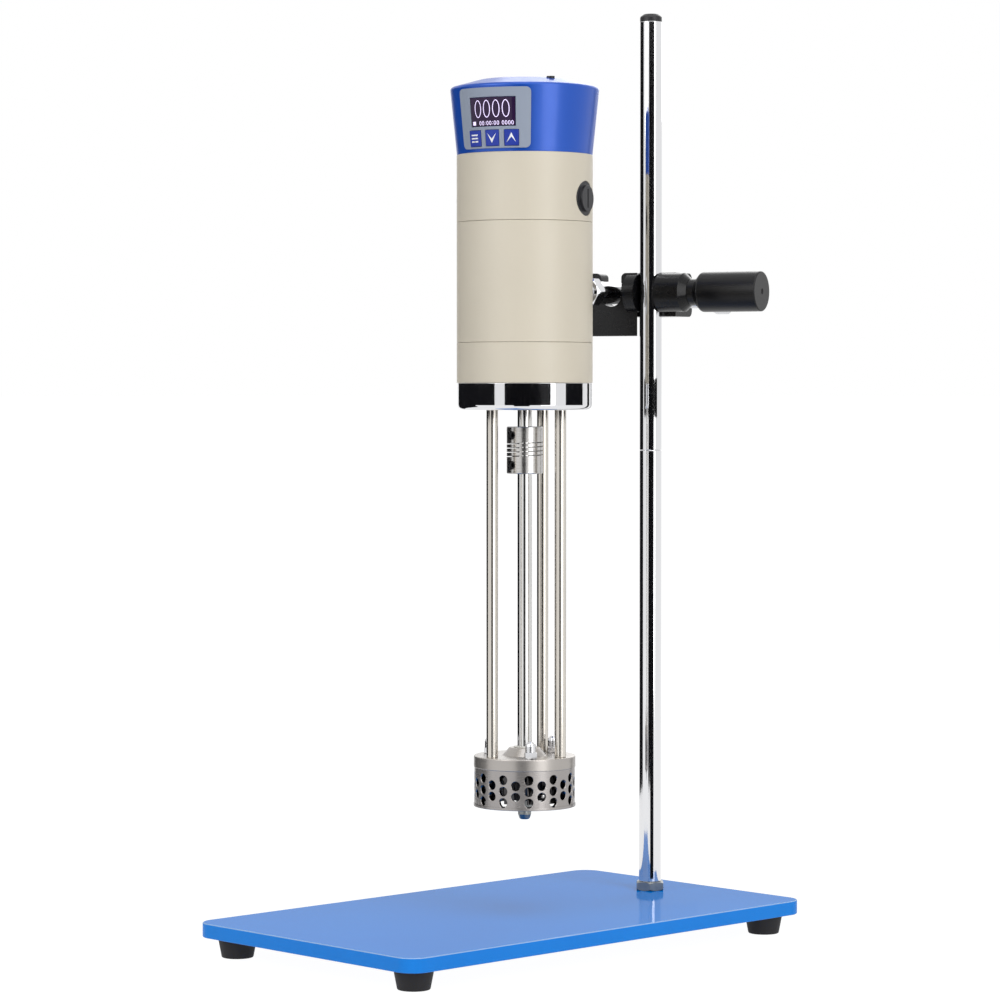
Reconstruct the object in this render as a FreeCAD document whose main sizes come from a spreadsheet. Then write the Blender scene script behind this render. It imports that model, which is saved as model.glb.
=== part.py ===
import FreeCAD, Part
import math
import os
import Sketcher
from FreeCAD import Placement, Rotation, Vector

# Driving sizes in millimetres and degrees. The floor under the feet is height zero, X runs
# along the plate towards the column, and Y runs across it.
SIZES = {
    # stand
    "plate_length": 380, "plate_width": 220, "plate_thick": 10, "plate_corner": 14, "plate_rim": 0.8,
    "foot_height": 14, "foot_top_r": 13.5, "foot_low_r": 10.8, "foot_inset": 21, "foot_recess_r": 5.5,
    "foot_recess": 5, "foot_bevel": 0.8, "foot_screw_r": 2, "foot_screw_deep": 6, "foot_head_r": 4, "foot_head": 3,
    # column
    "column_x": 145, "column_r": 8, "column_joint": 343.4, "column_top": 652, "column_stud_r": 6,
    "column_bevel": 0.6, "nut_across": 19, "nut_height": 6.5, "joint_stud_r": 5, "joint_stud_half": 12,
    "rod_cap": 6, "rod_cap_stem_r": 4, "rod_cap_stem": 8, "slack": 0.05,
    # how the arm stands at rest
    "swivel": 19, "arm_height": 457, "arm_offset": 30, "arm_reach": 143, "arm_r": 8,
    "arm_tail": 60, "collar_across": 19, "collar_length": 12, "collar_place": 40,
    # clamp
    "clamp_r": 14, "clamp_left": 16.5, "clamp_right": 27, "clamp_nose": 32, "block_front": 3.5,
    "block_back": 9.5, "block_out": 48, "block_in": 9, "block_slant": 15.7, "block_low": 31,
    "block_high": 14.5, "block_round": 2.5, "ear_round": 3.5, "notch_drop": 1.6, "bridge_front": 4,
    "bridge_back": 33, "bridge_low": 17, "bridge_right": 18, "bridge_left": 24, "bridge_round": 5,
    "slot_gap": 0.15, "thread_r": 6, "pad_thick": 3.5,
    "neck_r": 9.5, "neck_end": 37, "grip_r": 14.35, "grip_end": 87, "grip_round": 4.5,
    "grip_bevel": 1.2, "grip_edge": 0.8, "dimple_r": 2,
    "dimple": 1, "lock_x": 22, "lock_drop": 7, "lock_shank_r": 4, "lock_head_r": 8.5,
    "lock_neck_r": 5.5, "lock_head_start": 37, "lock_taper_end": 43, "lock_head_end": 52,
    "shoe_thick": 3.5, "shoe_half_x": 5, "shoe_up": 6, "shoe_down": 12,
    # motor housing, from the chrome ring up to the flared head
    "ring_low": 373, "ring_r": 46.5, "ring_round": 3.5, "ring_floor": 8, "ring_high": 391.6,
    "shell_r": 46.9, "shell_wall": 2.6, "seam": 0.35, "spigot": 4, "spigot_wall": 1.6,
    "lower_high": 419.3, "middle_high": 501.9, "upper_high": 548.2, "head_high": 594.2,
    "head_low_r": 46.7, "head_rim_r": 51.4, "head_wall": 2.6, "dome_rise": 5.6, "dome_r": 31, "dome_soft": 2.5, "rim_round": 1.8,
    "head_screw_r": 2.8, "head_screw": 1.2, "head_screw_place": 33, "head_screw_gap": 0.2, "screw_slot": 0.8,
    # panel, display and keys on the flared head
    "panel_angle": 63, "panel_low": 550.4, "panel_high": 591.2, "panel_proud": 1.5, "panel_round": 3.5,
    "display_angle": 39, "display_low": 565.2, "display_high": 584.6, "display_proud": 1.1,
    "key_angle": 11.6, "key_pitch": 16.2, "key_low": 551.9, "key_high": 562.5, "key_proud": 2.1,
    "key_back": 1.6, "key_bevel": 0.4, "board_thick": 1.6, "board_half_width": 23, "key_board_r": 40,
    "main_board_r": 38, "main_board_z": 574, "post_r": 2.5,
    # motor inside
    "shaft_r": 5, "shaft_low": 357, "shaft_high": 541.5, "bearing_r": 13, "bearing_thick": 8,
    "bearing_low": 379, "bearing_seat_r": 17, "bearing_seat_high": 387.5, "top_bearing_r": 11,
    "top_bearing_low": 532.5, "top_bearing_thick": 7, "bearing_plate_low": 530.5, "bearing_plate_thick": 9.5,
    "stack_low": 428, "stack_high": 474, "armature_r": 22, "air_gap": 0.8, "coil_thick": 8, "coil_bevel": 2.5,
    "coil_r": 18.5, "field_r": 44, "field_coil_r": 38, "fan_low": 400, "fan_high": 412, "fan_r": 38,
    "fan_blade": 1.5, "fan_plate": 2, "commutator_r": 11.5, "commutator_low": 507,
    "commutator_high": 527, "brush_z": 517.6, "brush_half": 3.5, "brush_tall": 5, "brush_start": 11.6,
    "brush_end": 30, "holder_start": 14, "holder_end": 41, "holder_r": 9, "brush_cap_r": 12,
    "brush_boss_r": 9, "brush_boss": 1.6, "brush_slot": 1.6, "brush_slot_deep": 1.2,
    # sockets at the back of the housing
    "socket_r": 14, "socket_in": 44.4, "socket_out": 62, "gland_z": 514, "gland_r": 8,
    "gland_flange_r": 10.5, "gland_out": 60, "gland_flange": 3, "gland_bore_r": 3.6,
    # coupling and shaft
    "coupling_r": 12.5, "coupling_low": 329, "coupling_high": 361.5, "slit_gap": 0.7,
    "slit_pitch": 2.9, "slit_turns": 4, "slit_low": 340, "set_screw_r": 3,
    "set_screw_inset": 6, "shaft_gap": 2,
    # shear head
    "cage_low": 99, "cage_high": 126, "cage_r": 34.8, "cage_wall": 3, "lip_r": 35.3, "lip_high": 2,
    "hole_r": 3, "hole_pitch": 7.8, "hole_first": 5.3, "hole_columns": 12, "head_plate_r": 35.2,
    "head_plate_thick": 8, "boss_r": 15.5, "boss_top_r": 10.5, "boss_high": 5.5, "bush_r": 7.5,
    "guide_r": 4, "guide_ring_r": 28, "guide_stud_r": 3, "stud_r": 2.5, "stud_ring_r": 25.6,
    "cage_top": 3, "acorn_across": 8, "acorn_hex": 4.5, "acorn_high": 12, "acorn_dome_r": 3.6,
    "rotor_r": 31.4, "rotor_low": 103, "rotor_high": 122, "rotor_disc": 3, "rotor_teeth": 12,
    "tooth_thick": 4, "tooth_wide": 6, "rotor_hub_r": 9, "rotor_bore_r": 3, "rotor_nut_across": 10,
    "rotor_nut_hex": 6, "rotor_nut_dome_r": 4.2, "rotor_nut_low": 89.5, "inlet_r": 28.5,
}

# Where the guide rods and the cap nuts stand round the shaft, from the arm's direction.
GUIDE_ANGLES = (0, -92, 154)
NUT_ANGLES = (-24, 96, 216)
CAGE_TURN = 1.5
SET_SCREW_ANGLE = 161
HEAD_SCREW_ANGLES = (-121, 59)
POST_ANGLES = (60, 180, 300)
NUT_TURN = 46
ALONG_X = Rotation(Vector(0, 1, 0), 90)
ALONG_Y = Rotation(Vector(1, 0, 0), -90)
UPRIGHT = Rotation()

doc = FreeCAD.newDocument("bench_emulsifier")
sheet = doc.addObject("Spreadsheet::Sheet", "Sizes")
for row, (alias, number) in enumerate(SIZES.items(), start=1):
    sheet.set("A%d" % row, alias)
    sheet.set("B%d" % row, str(number))
    sheet.setAlias("B%d" % row, alias)
doc.recompute()


class Size:
    """A length or an angle: the expression that the document keeps, and its value now."""

    def __init__(self, text, value):
        self.text = text
        self.value = value

    def joined(self, sign, other, value):
        return Size("(%s %s %s)" % (self.text, sign, other.text), value)

    def __add__(self, other):
        other = as_size(other)
        return self.joined("+", other, self.value + other.value)

    def __sub__(self, other):
        other = as_size(other)
        return self.joined("-", other, self.value - other.value)

    def __mul__(self, other):
        other = as_size(other)
        return self.joined("*", other, self.value * other.value)

    def __truediv__(self, other):
        other = as_size(other)
        return self.joined("/", other, self.value / other.value)

    def __radd__(self, other):
        return as_size(other) + self

    def __rsub__(self, other):
        return as_size(other) - self

    def __rmul__(self, other):
        return as_size(other) * self

    def __neg__(self):
        return as_size(0) - self


def as_size(number):
    return number if isinstance(number, Size) else Size("%.6f" % number, float(number))


class Sizes:
    """The sheet's cells by alias."""

    def __getattr__(self, alias):
        return Size("Sizes." + alias, float(sheet.get(alias)))


S = Sizes()


def cosine(angle):
    angle = as_size(angle)
    return Size("cos(%s * 1 deg)" % angle.text, math.cos(math.radians(angle.value)))


def sine(angle):
    angle = as_size(angle)
    return Size("sin(%s * 1 deg)" % angle.text, math.sin(math.radians(angle.value)))


def bind(thing, field, size):
    thing.setExpression(field, as_size(size).text)


class Frame:
    """A place to build in: a point, and whether X follows the arm or the plate."""

    def __init__(self, x, y, z, follows_arm):
        self.x = as_size(x)
        self.y = as_size(y)
        self.z = as_size(z)
        self.follows_arm = follows_arm

    def hold(self, piece, angle=0):
        turn = as_size(angle) + S.swivel if self.follows_arm else as_size(angle)
        piece.Placement = Placement(Vector(), Rotation(Vector(0, 0, 1), turn.value or 1e-9))
        bind(piece, "Placement.Base.x", self.x)
        bind(piece, "Placement.Base.y", self.y)
        bind(piece, "Placement.Base.z", self.z)
        if turn.value:
            bind(piece, "Placement.Rotation.Angle", turn)
        else:
            piece.Placement = Placement(Vector(self.x.value, self.y.value, self.z.value), UPRIGHT)


FLOOR = Frame(0, 0, 0, False)
COLUMN = Frame(S.column_x, 0, 0, True)
CLAMP = Frame(S.column_x, 0, S.arm_height, True)
MOTOR = Frame(S.column_x - S.arm_reach * cosine(S.swivel) - S.arm_offset * sine(S.swivel),
              S.arm_offset * cosine(S.swivel) - S.arm_reach * sine(S.swivel), 0, True)

pieces = {}


def piece_of(label, thing, frame, angle=0):
    """Name a finished piece and stand it in its frame; a plain solid keeps its own place in it."""
    if thing.TypeId in ("Part::Cylinder", "Part::Box", "Part::Prism"):
        thing = gathered(thing)
    thing.Label = label
    frame.hold(thing, angle)
    pieces[label] = thing
    return thing


def cylinder(radius, height, x=0, y=0, z=0, turn=UPRIGHT):
    solid = doc.addObject("Part::Cylinder", "cylinder")
    solid.Placement = Placement(Vector(), turn)
    bind(solid, "Radius", radius)
    bind(solid, "Height", height)
    put(solid, x, y, z)
    return solid


def cone(radius, top_radius, height, x=0, y=0, z=0, turn=UPRIGHT):
    solid = doc.addObject("Part::Cone", "cone")
    solid.Placement = Placement(Vector(), turn)
    bind(solid, "Radius1", radius)
    bind(solid, "Radius2", top_radius)
    bind(solid, "Height", height)
    put(solid, x, y, z)
    return solid


def box(x0, x1, y0, y1, z0, z1):
    solid = doc.addObject("Part::Box", "box")
    bind(solid, "Length", as_size(x1) - x0)
    bind(solid, "Width", as_size(y1) - y0)
    bind(solid, "Height", as_size(z1) - z0)
    put(solid, x0, y0, z0)
    return solid


def hexagon(across, height, x=0, y=0, z=0, turn=UPRIGHT):
    solid = doc.addObject("Part::Prism", "hexagon")
    solid.Polygon = 6
    solid.Placement = Placement(Vector(), turn)
    bind(solid, "Circumradius", as_size(across) / 1.7320508)
    bind(solid, "Height", height)
    put(solid, x, y, z)
    return solid


def put(solid, x, y, z):
    bind(solid, "Placement.Base.x", x)
    bind(solid, "Placement.Base.y", y)
    bind(solid, "Placement.Base.z", z)


def fused(*solids):
    union = doc.addObject("Part::MultiFuse", "union")
    union.Shapes = list(solids)
    union.Refine = True
    return union


def cut(base, *tools):
    remains = doc.addObject("Part::Cut", "remains")
    remains.Base = base
    remains.Tool = tools[0] if len(tools) == 1 else fused(*tools)
    return remains


def gathered(*solids):
    bunch = doc.addObject("Part::Compound", "bunch")
    bunch.Links = list(solids)
    return bunch


def spun(angle, solid):
    """Stand a solid of a group round the axis of its frame."""
    holder = doc.addObject("Part::Compound", "turned")
    holder.Links = [solid]
    holder.Placement = Placement(Vector(), Rotation(Vector(0, 0, 1), angle))
    return holder


def origin_plane(body, role):
    for feature in body.Origin.OriginFeatures:
        if feature.Role == role:
            return feature
    raise RuntimeError("no plane " + role)


def sketch_in(body, role, name, turn=0):
    sketch = body.newObject("Sketcher::SketchObject", name)
    sketch.AttachmentSupport = [(origin_plane(body, role), "")]
    sketch.MapMode = "FlatFace"
    sketch.AttachmentOffset = Placement(Vector(), Rotation(Vector(0, 1, 0), turn))
    return sketch


def hold_point(sketch, geometry, end, x, y):
    """Fix a sketch point at sizes measured from the sketch's origin."""
    for kind, size, axis in (("DistanceX", as_size(x), -2), ("DistanceY", as_size(y), -1)):
        if abs(size.value) < 1e-9:
            sketch.addConstraint(Sketcher.Constraint("PointOnObject", geometry, end, axis))
        else:
            row = sketch.addConstraint(Sketcher.Constraint(kind, -1, 1, geometry, end, size.value))
            bind(sketch, "Constraints[%d]" % row, size)


def outline(sketch, corners):
    """A closed outline of straight sides, each corner held by its own two sizes."""
    corners = [(as_size(x), as_size(y)) for x, y in corners]
    first = sketch.GeometryCount
    for here, there in zip(corners, corners[1:] + corners[:1]):
        start = Vector(here[0].value, here[1].value, 0)
        end = Vector(there[0].value, there[1].value, 0)
        sketch.addGeometry(Part.LineSegment(start, end), False)
    for step in range(len(corners)):
        after = first + (step + 1) % len(corners)
        sketch.addConstraint(Sketcher.Constraint("Coincident", first + step, 2, after, 1))
    for step, (x, y) in enumerate(corners):
        hold_point(sketch, first + step, 1, x, y)


def circle(sketch, radius, x, y):
    radius = as_size(radius)
    centre = Vector(as_size(x).value, as_size(y).value, 0)
    row = sketch.addGeometry(Part.Circle(centre, Vector(0, 0, 1), radius.value), False)
    hold_point(sketch, row, 3, x, y)
    size = sketch.addConstraint(Sketcher.Constraint("Radius", row, radius.value))
    bind(sketch, "Constraints[%d]" % size, radius)


def turned(name, corners, angle=360):
    """A body turned on a lathe: an outline of radius and height, about the upright axis."""
    body = doc.addObject("PartDesign::Body", name)
    sketch = sketch_in(body, "XZ_Plane", name + "_outline")
    outline(sketch, corners)
    turning = body.newObject("PartDesign::Revolution", name + "_turning")
    turning.Profile = sketch
    turning.ReferenceAxis = (sketch, ["V_Axis"])
    bind(turning, "Angle", angle)
    if as_size(angle).value < 360:
        turning.Midplane = True
    doc.recompute()
    return body


def edges_where(body, wanted):
    """The names of the edges of a body's last feature that a test accepts."""
    doc.recompute()
    return ["Edge%d" % (row + 1) for row, edge in enumerate(body.Shape.Edges) if wanted(edge)]


def dressed(body, kind, size_field, size, wanted):
    """Round or bevel the edges that a test accepts."""
    names = edges_where(body, wanted)
    if not names:
        raise RuntimeError("no edge to dress on " + body.Name)
    base = body.Tip
    dressing = body.newObject("PartDesign::" + kind, body.Name + "_" + kind.lower())
    dressing.Base = (base, names)
    bind(dressing, size_field, size)
    body.Tip = dressing
    doc.recompute()
    return dressing


def circle_at(radius, height):
    """A test for the edge that runs round the upright axis at a radius and a height."""
    radius, height = as_size(radius).value, as_size(height).value

    def wanted(edge):
        round_edge = hasattr(edge.Curve, "Radius") and abs(edge.Curve.Radius - radius) < 0.01
        return round_edge and abs(edge.BoundBox.ZMax - height) < 0.01 and edge.BoundBox.ZLength < 0.01
    return wanted


def pocketed(body, sketch, length=None, reverse=False):
    """Cut a sketch into a body and make sure that it took something away."""
    doc.recompute()
    before = body.Shape.Volume
    pocket = body.newObject("PartDesign::Pocket", sketch.Name + "_cut")
    pocket.Profile = sketch
    pocket.Reversed = reverse
    if length is None:
        pocket.Type = 1
    else:
        bind(pocket, "Length", length)
    doc.recompute()
    if body.Shape.Volume > before - 0.1:
        raise RuntimeError("the cut of %s took nothing away" % sketch.Name)
    return pocket


def padded(name, role, corners, length, reverse=False):
    body = doc.addObject("PartDesign::Body", name)
    sketch = sketch_in(body, role, name + "_outline")
    outline(sketch, corners)
    pad = body.newObject("PartDesign::Pad", name + "_pad")
    pad.Profile = sketch
    bind(pad, "Length", length)
    pad.Reversed = reverse
    doc.recompute()
    return body


# Stand: a plate with rounded corners and a polished rim, on four screwed rubber feet.
plate_low = S.foot_height
plate_top = S.foot_height + S.plate_thick
half_long = S.plate_length / 2
half_wide = S.plate_width / 2
foot_x = half_long - S.foot_inset
foot_y = half_wide - S.foot_inset
FOOT_SIDES = [(1, 1), (1, -1), (-1, 1), (-1, -1)]

plate = padded("plate", "XY_Plane", [(-half_long, -half_wide), (half_long, -half_wide),
                                     (half_long, half_wide), (-half_long, half_wide)], S.plate_thick)
dressed(plate, "Fillet", "Radius", S.plate_corner, lambda edge: edge.BoundBox.ZLength > 1)
dressed(plate, "Chamfer", "Size", S.plate_rim,
        lambda edge: edge.BoundBox.ZLength < 0.01 and edge.BoundBox.ZMin > S.plate_thick.value - 0.01)
holes = sketch_in(plate, "XY_Plane", "column_hole")
circle(holes, S.column_stud_r + S.slack, S.column_x, 0)
pocketed(plate, holes, None, True)
holes = sketch_in(plate, "XY_Plane", "foot_holes")
for side_x, side_y in FOOT_SIDES:
    circle(holes, S.foot_screw_r, foot_x * side_x, foot_y * side_y)
pocketed(plate, holes, S.foot_screw_deep, True)
piece_of("base_plate", plate, Frame(0, 0, plate_low, False))


def foot():
    return turned("foot", [
        (S.foot_recess_r, 0), (S.foot_low_r - S.foot_bevel, 0), (S.foot_low_r, S.foot_bevel),
        (S.foot_top_r, S.foot_height), (S.foot_screw_r, S.foot_height),
        (S.foot_screw_r, S.foot_recess), (S.foot_recess_r, S.foot_recess)])


def foot_screw():
    return fused(cylinder(S.foot_head_r, S.foot_head, z=S.foot_recess - S.foot_head),
                 cylinder(S.foot_screw_r, S.foot_height + S.foot_screw_deep - S.foot_recess, z=S.foot_recess))


def at_each_foot(make):
    things = []
    for side_x, side_y in FOOT_SIDES:
        thing = make()
        put(thing, foot_x * side_x, foot_y * side_y, 0)
        things.append(thing)
    return gathered(*things)


piece_of("rubber_feet", at_each_foot(foot), FLOOR)
piece_of("foot_screws", at_each_foot(foot_screw), FLOOR)

# Column: two rods screwed end to end, jammed on the plate by a nut and closed by a cap.
nut = cut(hexagon(S.nut_across, S.nut_height), cylinder(S.column_stud_r + S.slack, S.nut_height))
piece_of("column_nut", nut, Frame(S.column_x, 0, plate_top, False), NUT_TURN)

rod_start = plate_top + S.nut_height + S.slack
lower = turned("lower_rod", [
    (0, plate_low), (S.column_stud_r, plate_low), (S.column_stud_r, rod_start),
    (S.column_r, rod_start), (S.column_r, S.column_joint - S.column_bevel),
    (S.column_r - S.column_bevel, S.column_joint), (S.joint_stud_r, S.column_joint),
    (S.joint_stud_r, S.column_joint - S.joint_stud_half), (0, S.column_joint - S.joint_stud_half)])
piece_of("lower_rod", lower, COLUMN)
upper = turned("upper_rod", [
    (S.joint_stud_r, S.column_joint), (S.column_r - S.column_bevel, S.column_joint),
    (S.column_r, S.column_joint + S.column_bevel), (S.column_r, S.column_top),
    (S.rod_cap_stem_r, S.column_top), (S.rod_cap_stem_r, S.column_top - S.rod_cap_stem),
    (0, S.column_top - S.rod_cap_stem), (0, S.column_joint + S.joint_stud_half),
    (S.joint_stud_r, S.column_joint + S.joint_stud_half)])
piece_of("upper_rod", upper, COLUMN)
stud = cylinder(S.joint_stud_r, S.joint_stud_half * 2, z=-S.joint_stud_half)
piece_of("joint_stud", stud, Frame(S.column_x, 0, S.column_joint, True))
cap = turned("column_cap", [
    (0, S.column_top - S.rod_cap_stem), (S.rod_cap_stem_r, S.column_top - S.rod_cap_stem),
    (S.rod_cap_stem_r, S.column_top), (S.column_r, S.column_top),
    (S.column_r, S.column_top + S.rod_cap / 2), (S.column_r * 0.55, S.column_top + S.rod_cap),
    (0, S.column_top + S.rod_cap)])
dressed(cap, "Fillet", "Radius", 1.6, circle_at(S.column_r, S.column_top + S.rod_cap / 2))
piece_of("column_cap", cap, COLUMN)

# Clamp: a black casting with an open slot for the column and a notch for the arm beside it.
slot_r = S.column_r + S.slot_gap
notch_r = S.arm_r + S.slot_gap
barrel = cylinder(S.clamp_r, S.clamp_left + S.clamp_right, y=-S.clamp_right, turn=ALONG_Y)
nose = cone(S.neck_r, S.clamp_r, S.clamp_nose - S.clamp_right, y=-S.clamp_nose, turn=ALONG_Y)
block = padded("clamp_block", "XY_Plane", [
    (-S.block_front, S.block_in), (S.block_back, S.block_slant), (S.block_back, S.block_out),
    (-S.block_front, S.block_out)], S.block_low + S.block_high)
dressed(block, "Fillet", "Radius", S.block_round,
        lambda edge: edge.BoundBox.YMin > S.block_out.value - 0.01 and edge.BoundBox.XLength > 1
        and edge.BoundBox.ZMin > 1)
put(block, 0, 0, -S.block_low)
bridge = box(S.bridge_front, S.bridge_back, -S.bridge_right, S.bridge_left, -S.bridge_low, S.block_high)
rounded_bridge = doc.addObject("Part::Fillet", "rounded_bridge")
rounded_bridge.Base = bridge
doc.recompute()
rounded_bridge.Edges = [(row + 1, S.bridge_round.value, S.bridge_round.value)
                        for row, edge in enumerate(bridge.Shape.Edges)
                        if edge.BoundBox.YLength > 1 and edge.BoundBox.XMin > S.bridge_back.value - 1]
clamp = cut(
    fused(barrel, nose, block, rounded_bridge),
    cylinder(slot_r, S.block_low * 3, z=-S.block_low * 1.5),
    box(-S.clamp_r * 2, 0, -slot_r, slot_r, -S.block_low * 1.5, S.block_low * 1.5),
    cylinder(notch_r, S.bridge_back * 4, x=-S.bridge_back * 2, y=S.arm_offset, z=-S.notch_drop,
             turn=ALONG_X),
    box(-S.bridge_back * 2, S.bridge_back * 2, S.arm_offset - notch_r, S.arm_offset + notch_r,
        -S.notch_drop, S.block_high * 2),
    cylinder(S.thread_r, S.clamp_nose, y=-S.clamp_nose - 1, turn=ALONG_Y),
    cylinder(S.lock_shank_r + S.slack, S.arm_offset * 2, x=S.lock_x, y=-S.arm_offset, z=-S.lock_drop,
             turn=ALONG_Y),
    box(S.lock_x - S.shoe_half_x - S.slack, S.lock_x + S.shoe_half_x + S.slack,
        S.arm_offset - notch_r - S.shoe_thick - 2, S.arm_offset, -S.shoe_down - S.slack,
        S.shoe_up + S.slack))
doc.recompute()
ears = doc.addObject("Part::Fillet", "rounded_ears")
ears.Base = clamp
ears.Edges = [(row + 1, S.ear_round.value, S.ear_round.value)
              for row, edge in enumerate(clamp.Shape.Edges)
              if edge.BoundBox.YLength < 0.01 and edge.BoundBox.ZMin > S.block_high.value - 0.01
              and abs(abs(edge.BoundBox.YMin - S.arm_offset.value) - notch_r.value) < 0.01]
piece_of("clamp_body", gathered(ears), CLAMP)

# Column lock: a pad pushed on the rod by a screw that is moulded into a black hand grip.
pad_face = -S.column_r - S.slack
pad = cylinder(S.thread_r - S.slack, S.pad_thick, y=pad_face - S.pad_thick, turn=ALONG_Y)
piece_of("column_pad", pad, CLAMP)
screw_tip = pad_face - S.pad_thick - S.slack
screw = cylinder(S.thread_r - S.slack, S.grip_end - S.grip_round * 2 + screw_tip,
                 y=-S.grip_end + S.grip_round * 2, turn=ALONG_Y)
piece_of("column_lock_screw", screw, CLAMP)
grip = turned("grip", [
    (S.thread_r - S.slack, S.clamp_nose + S.slack), (S.neck_r, S.clamp_nose + S.slack),
    (S.neck_r, S.neck_end), (S.grip_r - S.grip_bevel, S.neck_end + S.grip_round - S.grip_bevel),
    (S.grip_r, S.neck_end + S.grip_round + S.grip_bevel), (S.grip_r, S.grip_end),
    (S.dimple_r, S.grip_end), (0, S.grip_end - S.dimple), (0, S.grip_end - S.grip_round * 2),
    (S.thread_r - S.slack, S.grip_end - S.grip_round * 2)])
dressed(grip, "Chamfer", "Size", S.grip_edge, circle_at(S.grip_r, S.grip_end))
laid = gathered(grip)
grip.Placement = Placement(Vector(), Rotation(Vector(1, 0, 0), 90))
piece_of("column_lock_grip", laid, CLAMP)

# Arm lock: a brass shoe in the notch's wall, pushed by a chromed thumb screw behind the column.
shoe_face = S.arm_offset - S.arm_r - S.slack
shoe = box(S.lock_x - S.shoe_half_x, S.lock_x + S.shoe_half_x, shoe_face - S.shoe_thick, shoe_face,
           -S.shoe_down, S.shoe_up)
piece_of("arm_shoe", shoe, CLAMP)
shank_tip = shoe_face - S.shoe_thick - S.slack
thumb = turned("thumb_screw", [
    (0, -shank_tip), (S.lock_shank_r, -shank_tip), (S.lock_shank_r, S.lock_head_start),
    (S.lock_neck_r, S.lock_head_start), (S.lock_head_r, S.lock_taper_end),
    (S.lock_head_r, S.lock_head_end), (0, S.lock_head_end)])
dressed(thumb, "Fillet", "Radius", 1.2, circle_at(S.lock_head_r, S.lock_head_end))
thumb.Placement = Placement(Vector(S.lock_x.value, 0, -S.lock_drop.value), Rotation(Vector(1, 0, 0), 90))
bind(thumb, "Placement.Base.x", S.lock_x)
bind(thumb, "Placement.Base.z", -S.lock_drop)
piece_of("arm_lock_screw", gathered(thumb), CLAMP)

# Arm: a chromed rod that lies in the notch, with a hexagonal collar in front of the clamp.
arm_start = -S.arm_reach + S.socket_in + 0.6
arm = turned("arm", [
    (0, arm_start), (S.arm_r - S.column_bevel, arm_start), (S.arm_r, arm_start + S.column_bevel),
    (S.arm_r, S.arm_tail - S.column_bevel), (S.arm_r - S.column_bevel, S.arm_tail), (0, S.arm_tail)])
arm.Placement = Placement(Vector(0, S.arm_offset.value, 0), ALONG_X)
bind(arm, "Placement.Base.y", S.arm_offset)
piece_of("arm_rod", gathered(arm), CLAMP)
FLATS_UP = ALONG_X * Rotation(Vector(0, 0, 1), 30)
collar = cut(hexagon(S.collar_across, S.collar_length, -S.collar_place - S.collar_length / 2,
                     S.arm_offset, 0, FLATS_UP),
             cylinder(S.arm_r, S.collar_length, -S.collar_place - S.collar_length / 2,
                      S.arm_offset, 0, ALONG_X))
piece_of("arm_collar", collar, CLAMP)

# Chrome ring: the motor's lower end bell, with the seat of the lower bearing in its floor.
ring_in = S.ring_r - S.shell_wall
ring = turned("ring", [
    (S.shaft_r + 1.5, S.ring_low), (S.ring_r, S.ring_low), (S.ring_r, S.ring_high), (ring_in, S.ring_high),
    (ring_in, S.ring_low + S.ring_floor), (S.bearing_seat_r, S.ring_low + S.ring_floor),
    (S.bearing_seat_r, S.bearing_seat_high), (S.bearing_r, S.bearing_seat_high),
    (S.bearing_r, S.bearing_low), (S.shaft_r + 1.5, S.bearing_low)])
dressed(ring, "Fillet", "Radius", S.ring_round, circle_at(S.ring_r, S.ring_low))
tapped = sketch_in(ring, "XY_Plane", "guide_threads")
for angle in GUIDE_ANGLES:
    circle(tapped, S.guide_stud_r, S.guide_ring_r * cosine(angle), S.guide_ring_r * sine(angle))
pocketed(ring, tapped, S.ring_low + S.ring_floor, True)
piece_of("end_ring", ring, MOTOR)


lower_shell = turned("lower_shell", [
    (S.shell_r - S.shell_wall, S.ring_high), (S.shell_r - S.seam, S.ring_high),
    (S.shell_r, S.ring_high + S.seam), (S.shell_r, S.lower_high - S.seam),
    (S.shell_r - S.seam, S.lower_high), (S.shell_r - S.shell_wall, S.lower_high)])
piece_of("housing_lower", lower_shell, MOTOR)


def spigot_shell(name, low, high):
    """A barrel whose thin lower spigot slides into the barrel below it."""
    inner = S.shell_r - S.shell_wall
    return turned(name, [
        (inner - S.spigot_wall, low - S.spigot), (inner - S.slack, low - S.spigot), (inner - S.slack, low),
        (S.shell_r - S.seam, low), (S.shell_r, low + S.seam), (S.shell_r, high - S.seam),
        (S.shell_r - S.seam, high), (inner, high), (inner, low + S.spigot),
        (inner - S.spigot_wall, low + S.spigot)])


middle_shell = spigot_shell("middle_shell", S.lower_high, S.middle_high)
socket_hole = cylinder(S.socket_r, S.shell_r, z=S.arm_height, turn=ALONG_X)
piece_of("housing_middle", cut(middle_shell, socket_hole), MOTOR)
upper_shell = spigot_shell("upper_shell", S.middle_high, S.upper_high)
brush_holes = cylinder(S.brush_cap_r, S.shell_r * 4, y=-S.shell_r * 2, z=S.brush_z, turn=ALONG_Y)
gland_hole = cylinder(S.gland_r, S.shell_r * 2, z=S.gland_z, turn=ALONG_X)
piece_of("housing_upper", cut(upper_shell, brush_holes, gland_hole), MOTOR)

# Flared head: a blue moulding that widens upwards and closes in a shallow dome.
flare = (S.head_rim_r - S.head_low_r) / (S.head_high - S.upper_high)


def flare_r(height, proud=0):
    """The radius of the flared head's face at a height, and as much further out as asked."""
    return S.head_low_r + (as_size(height) - S.upper_high) * flare + proud


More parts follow.
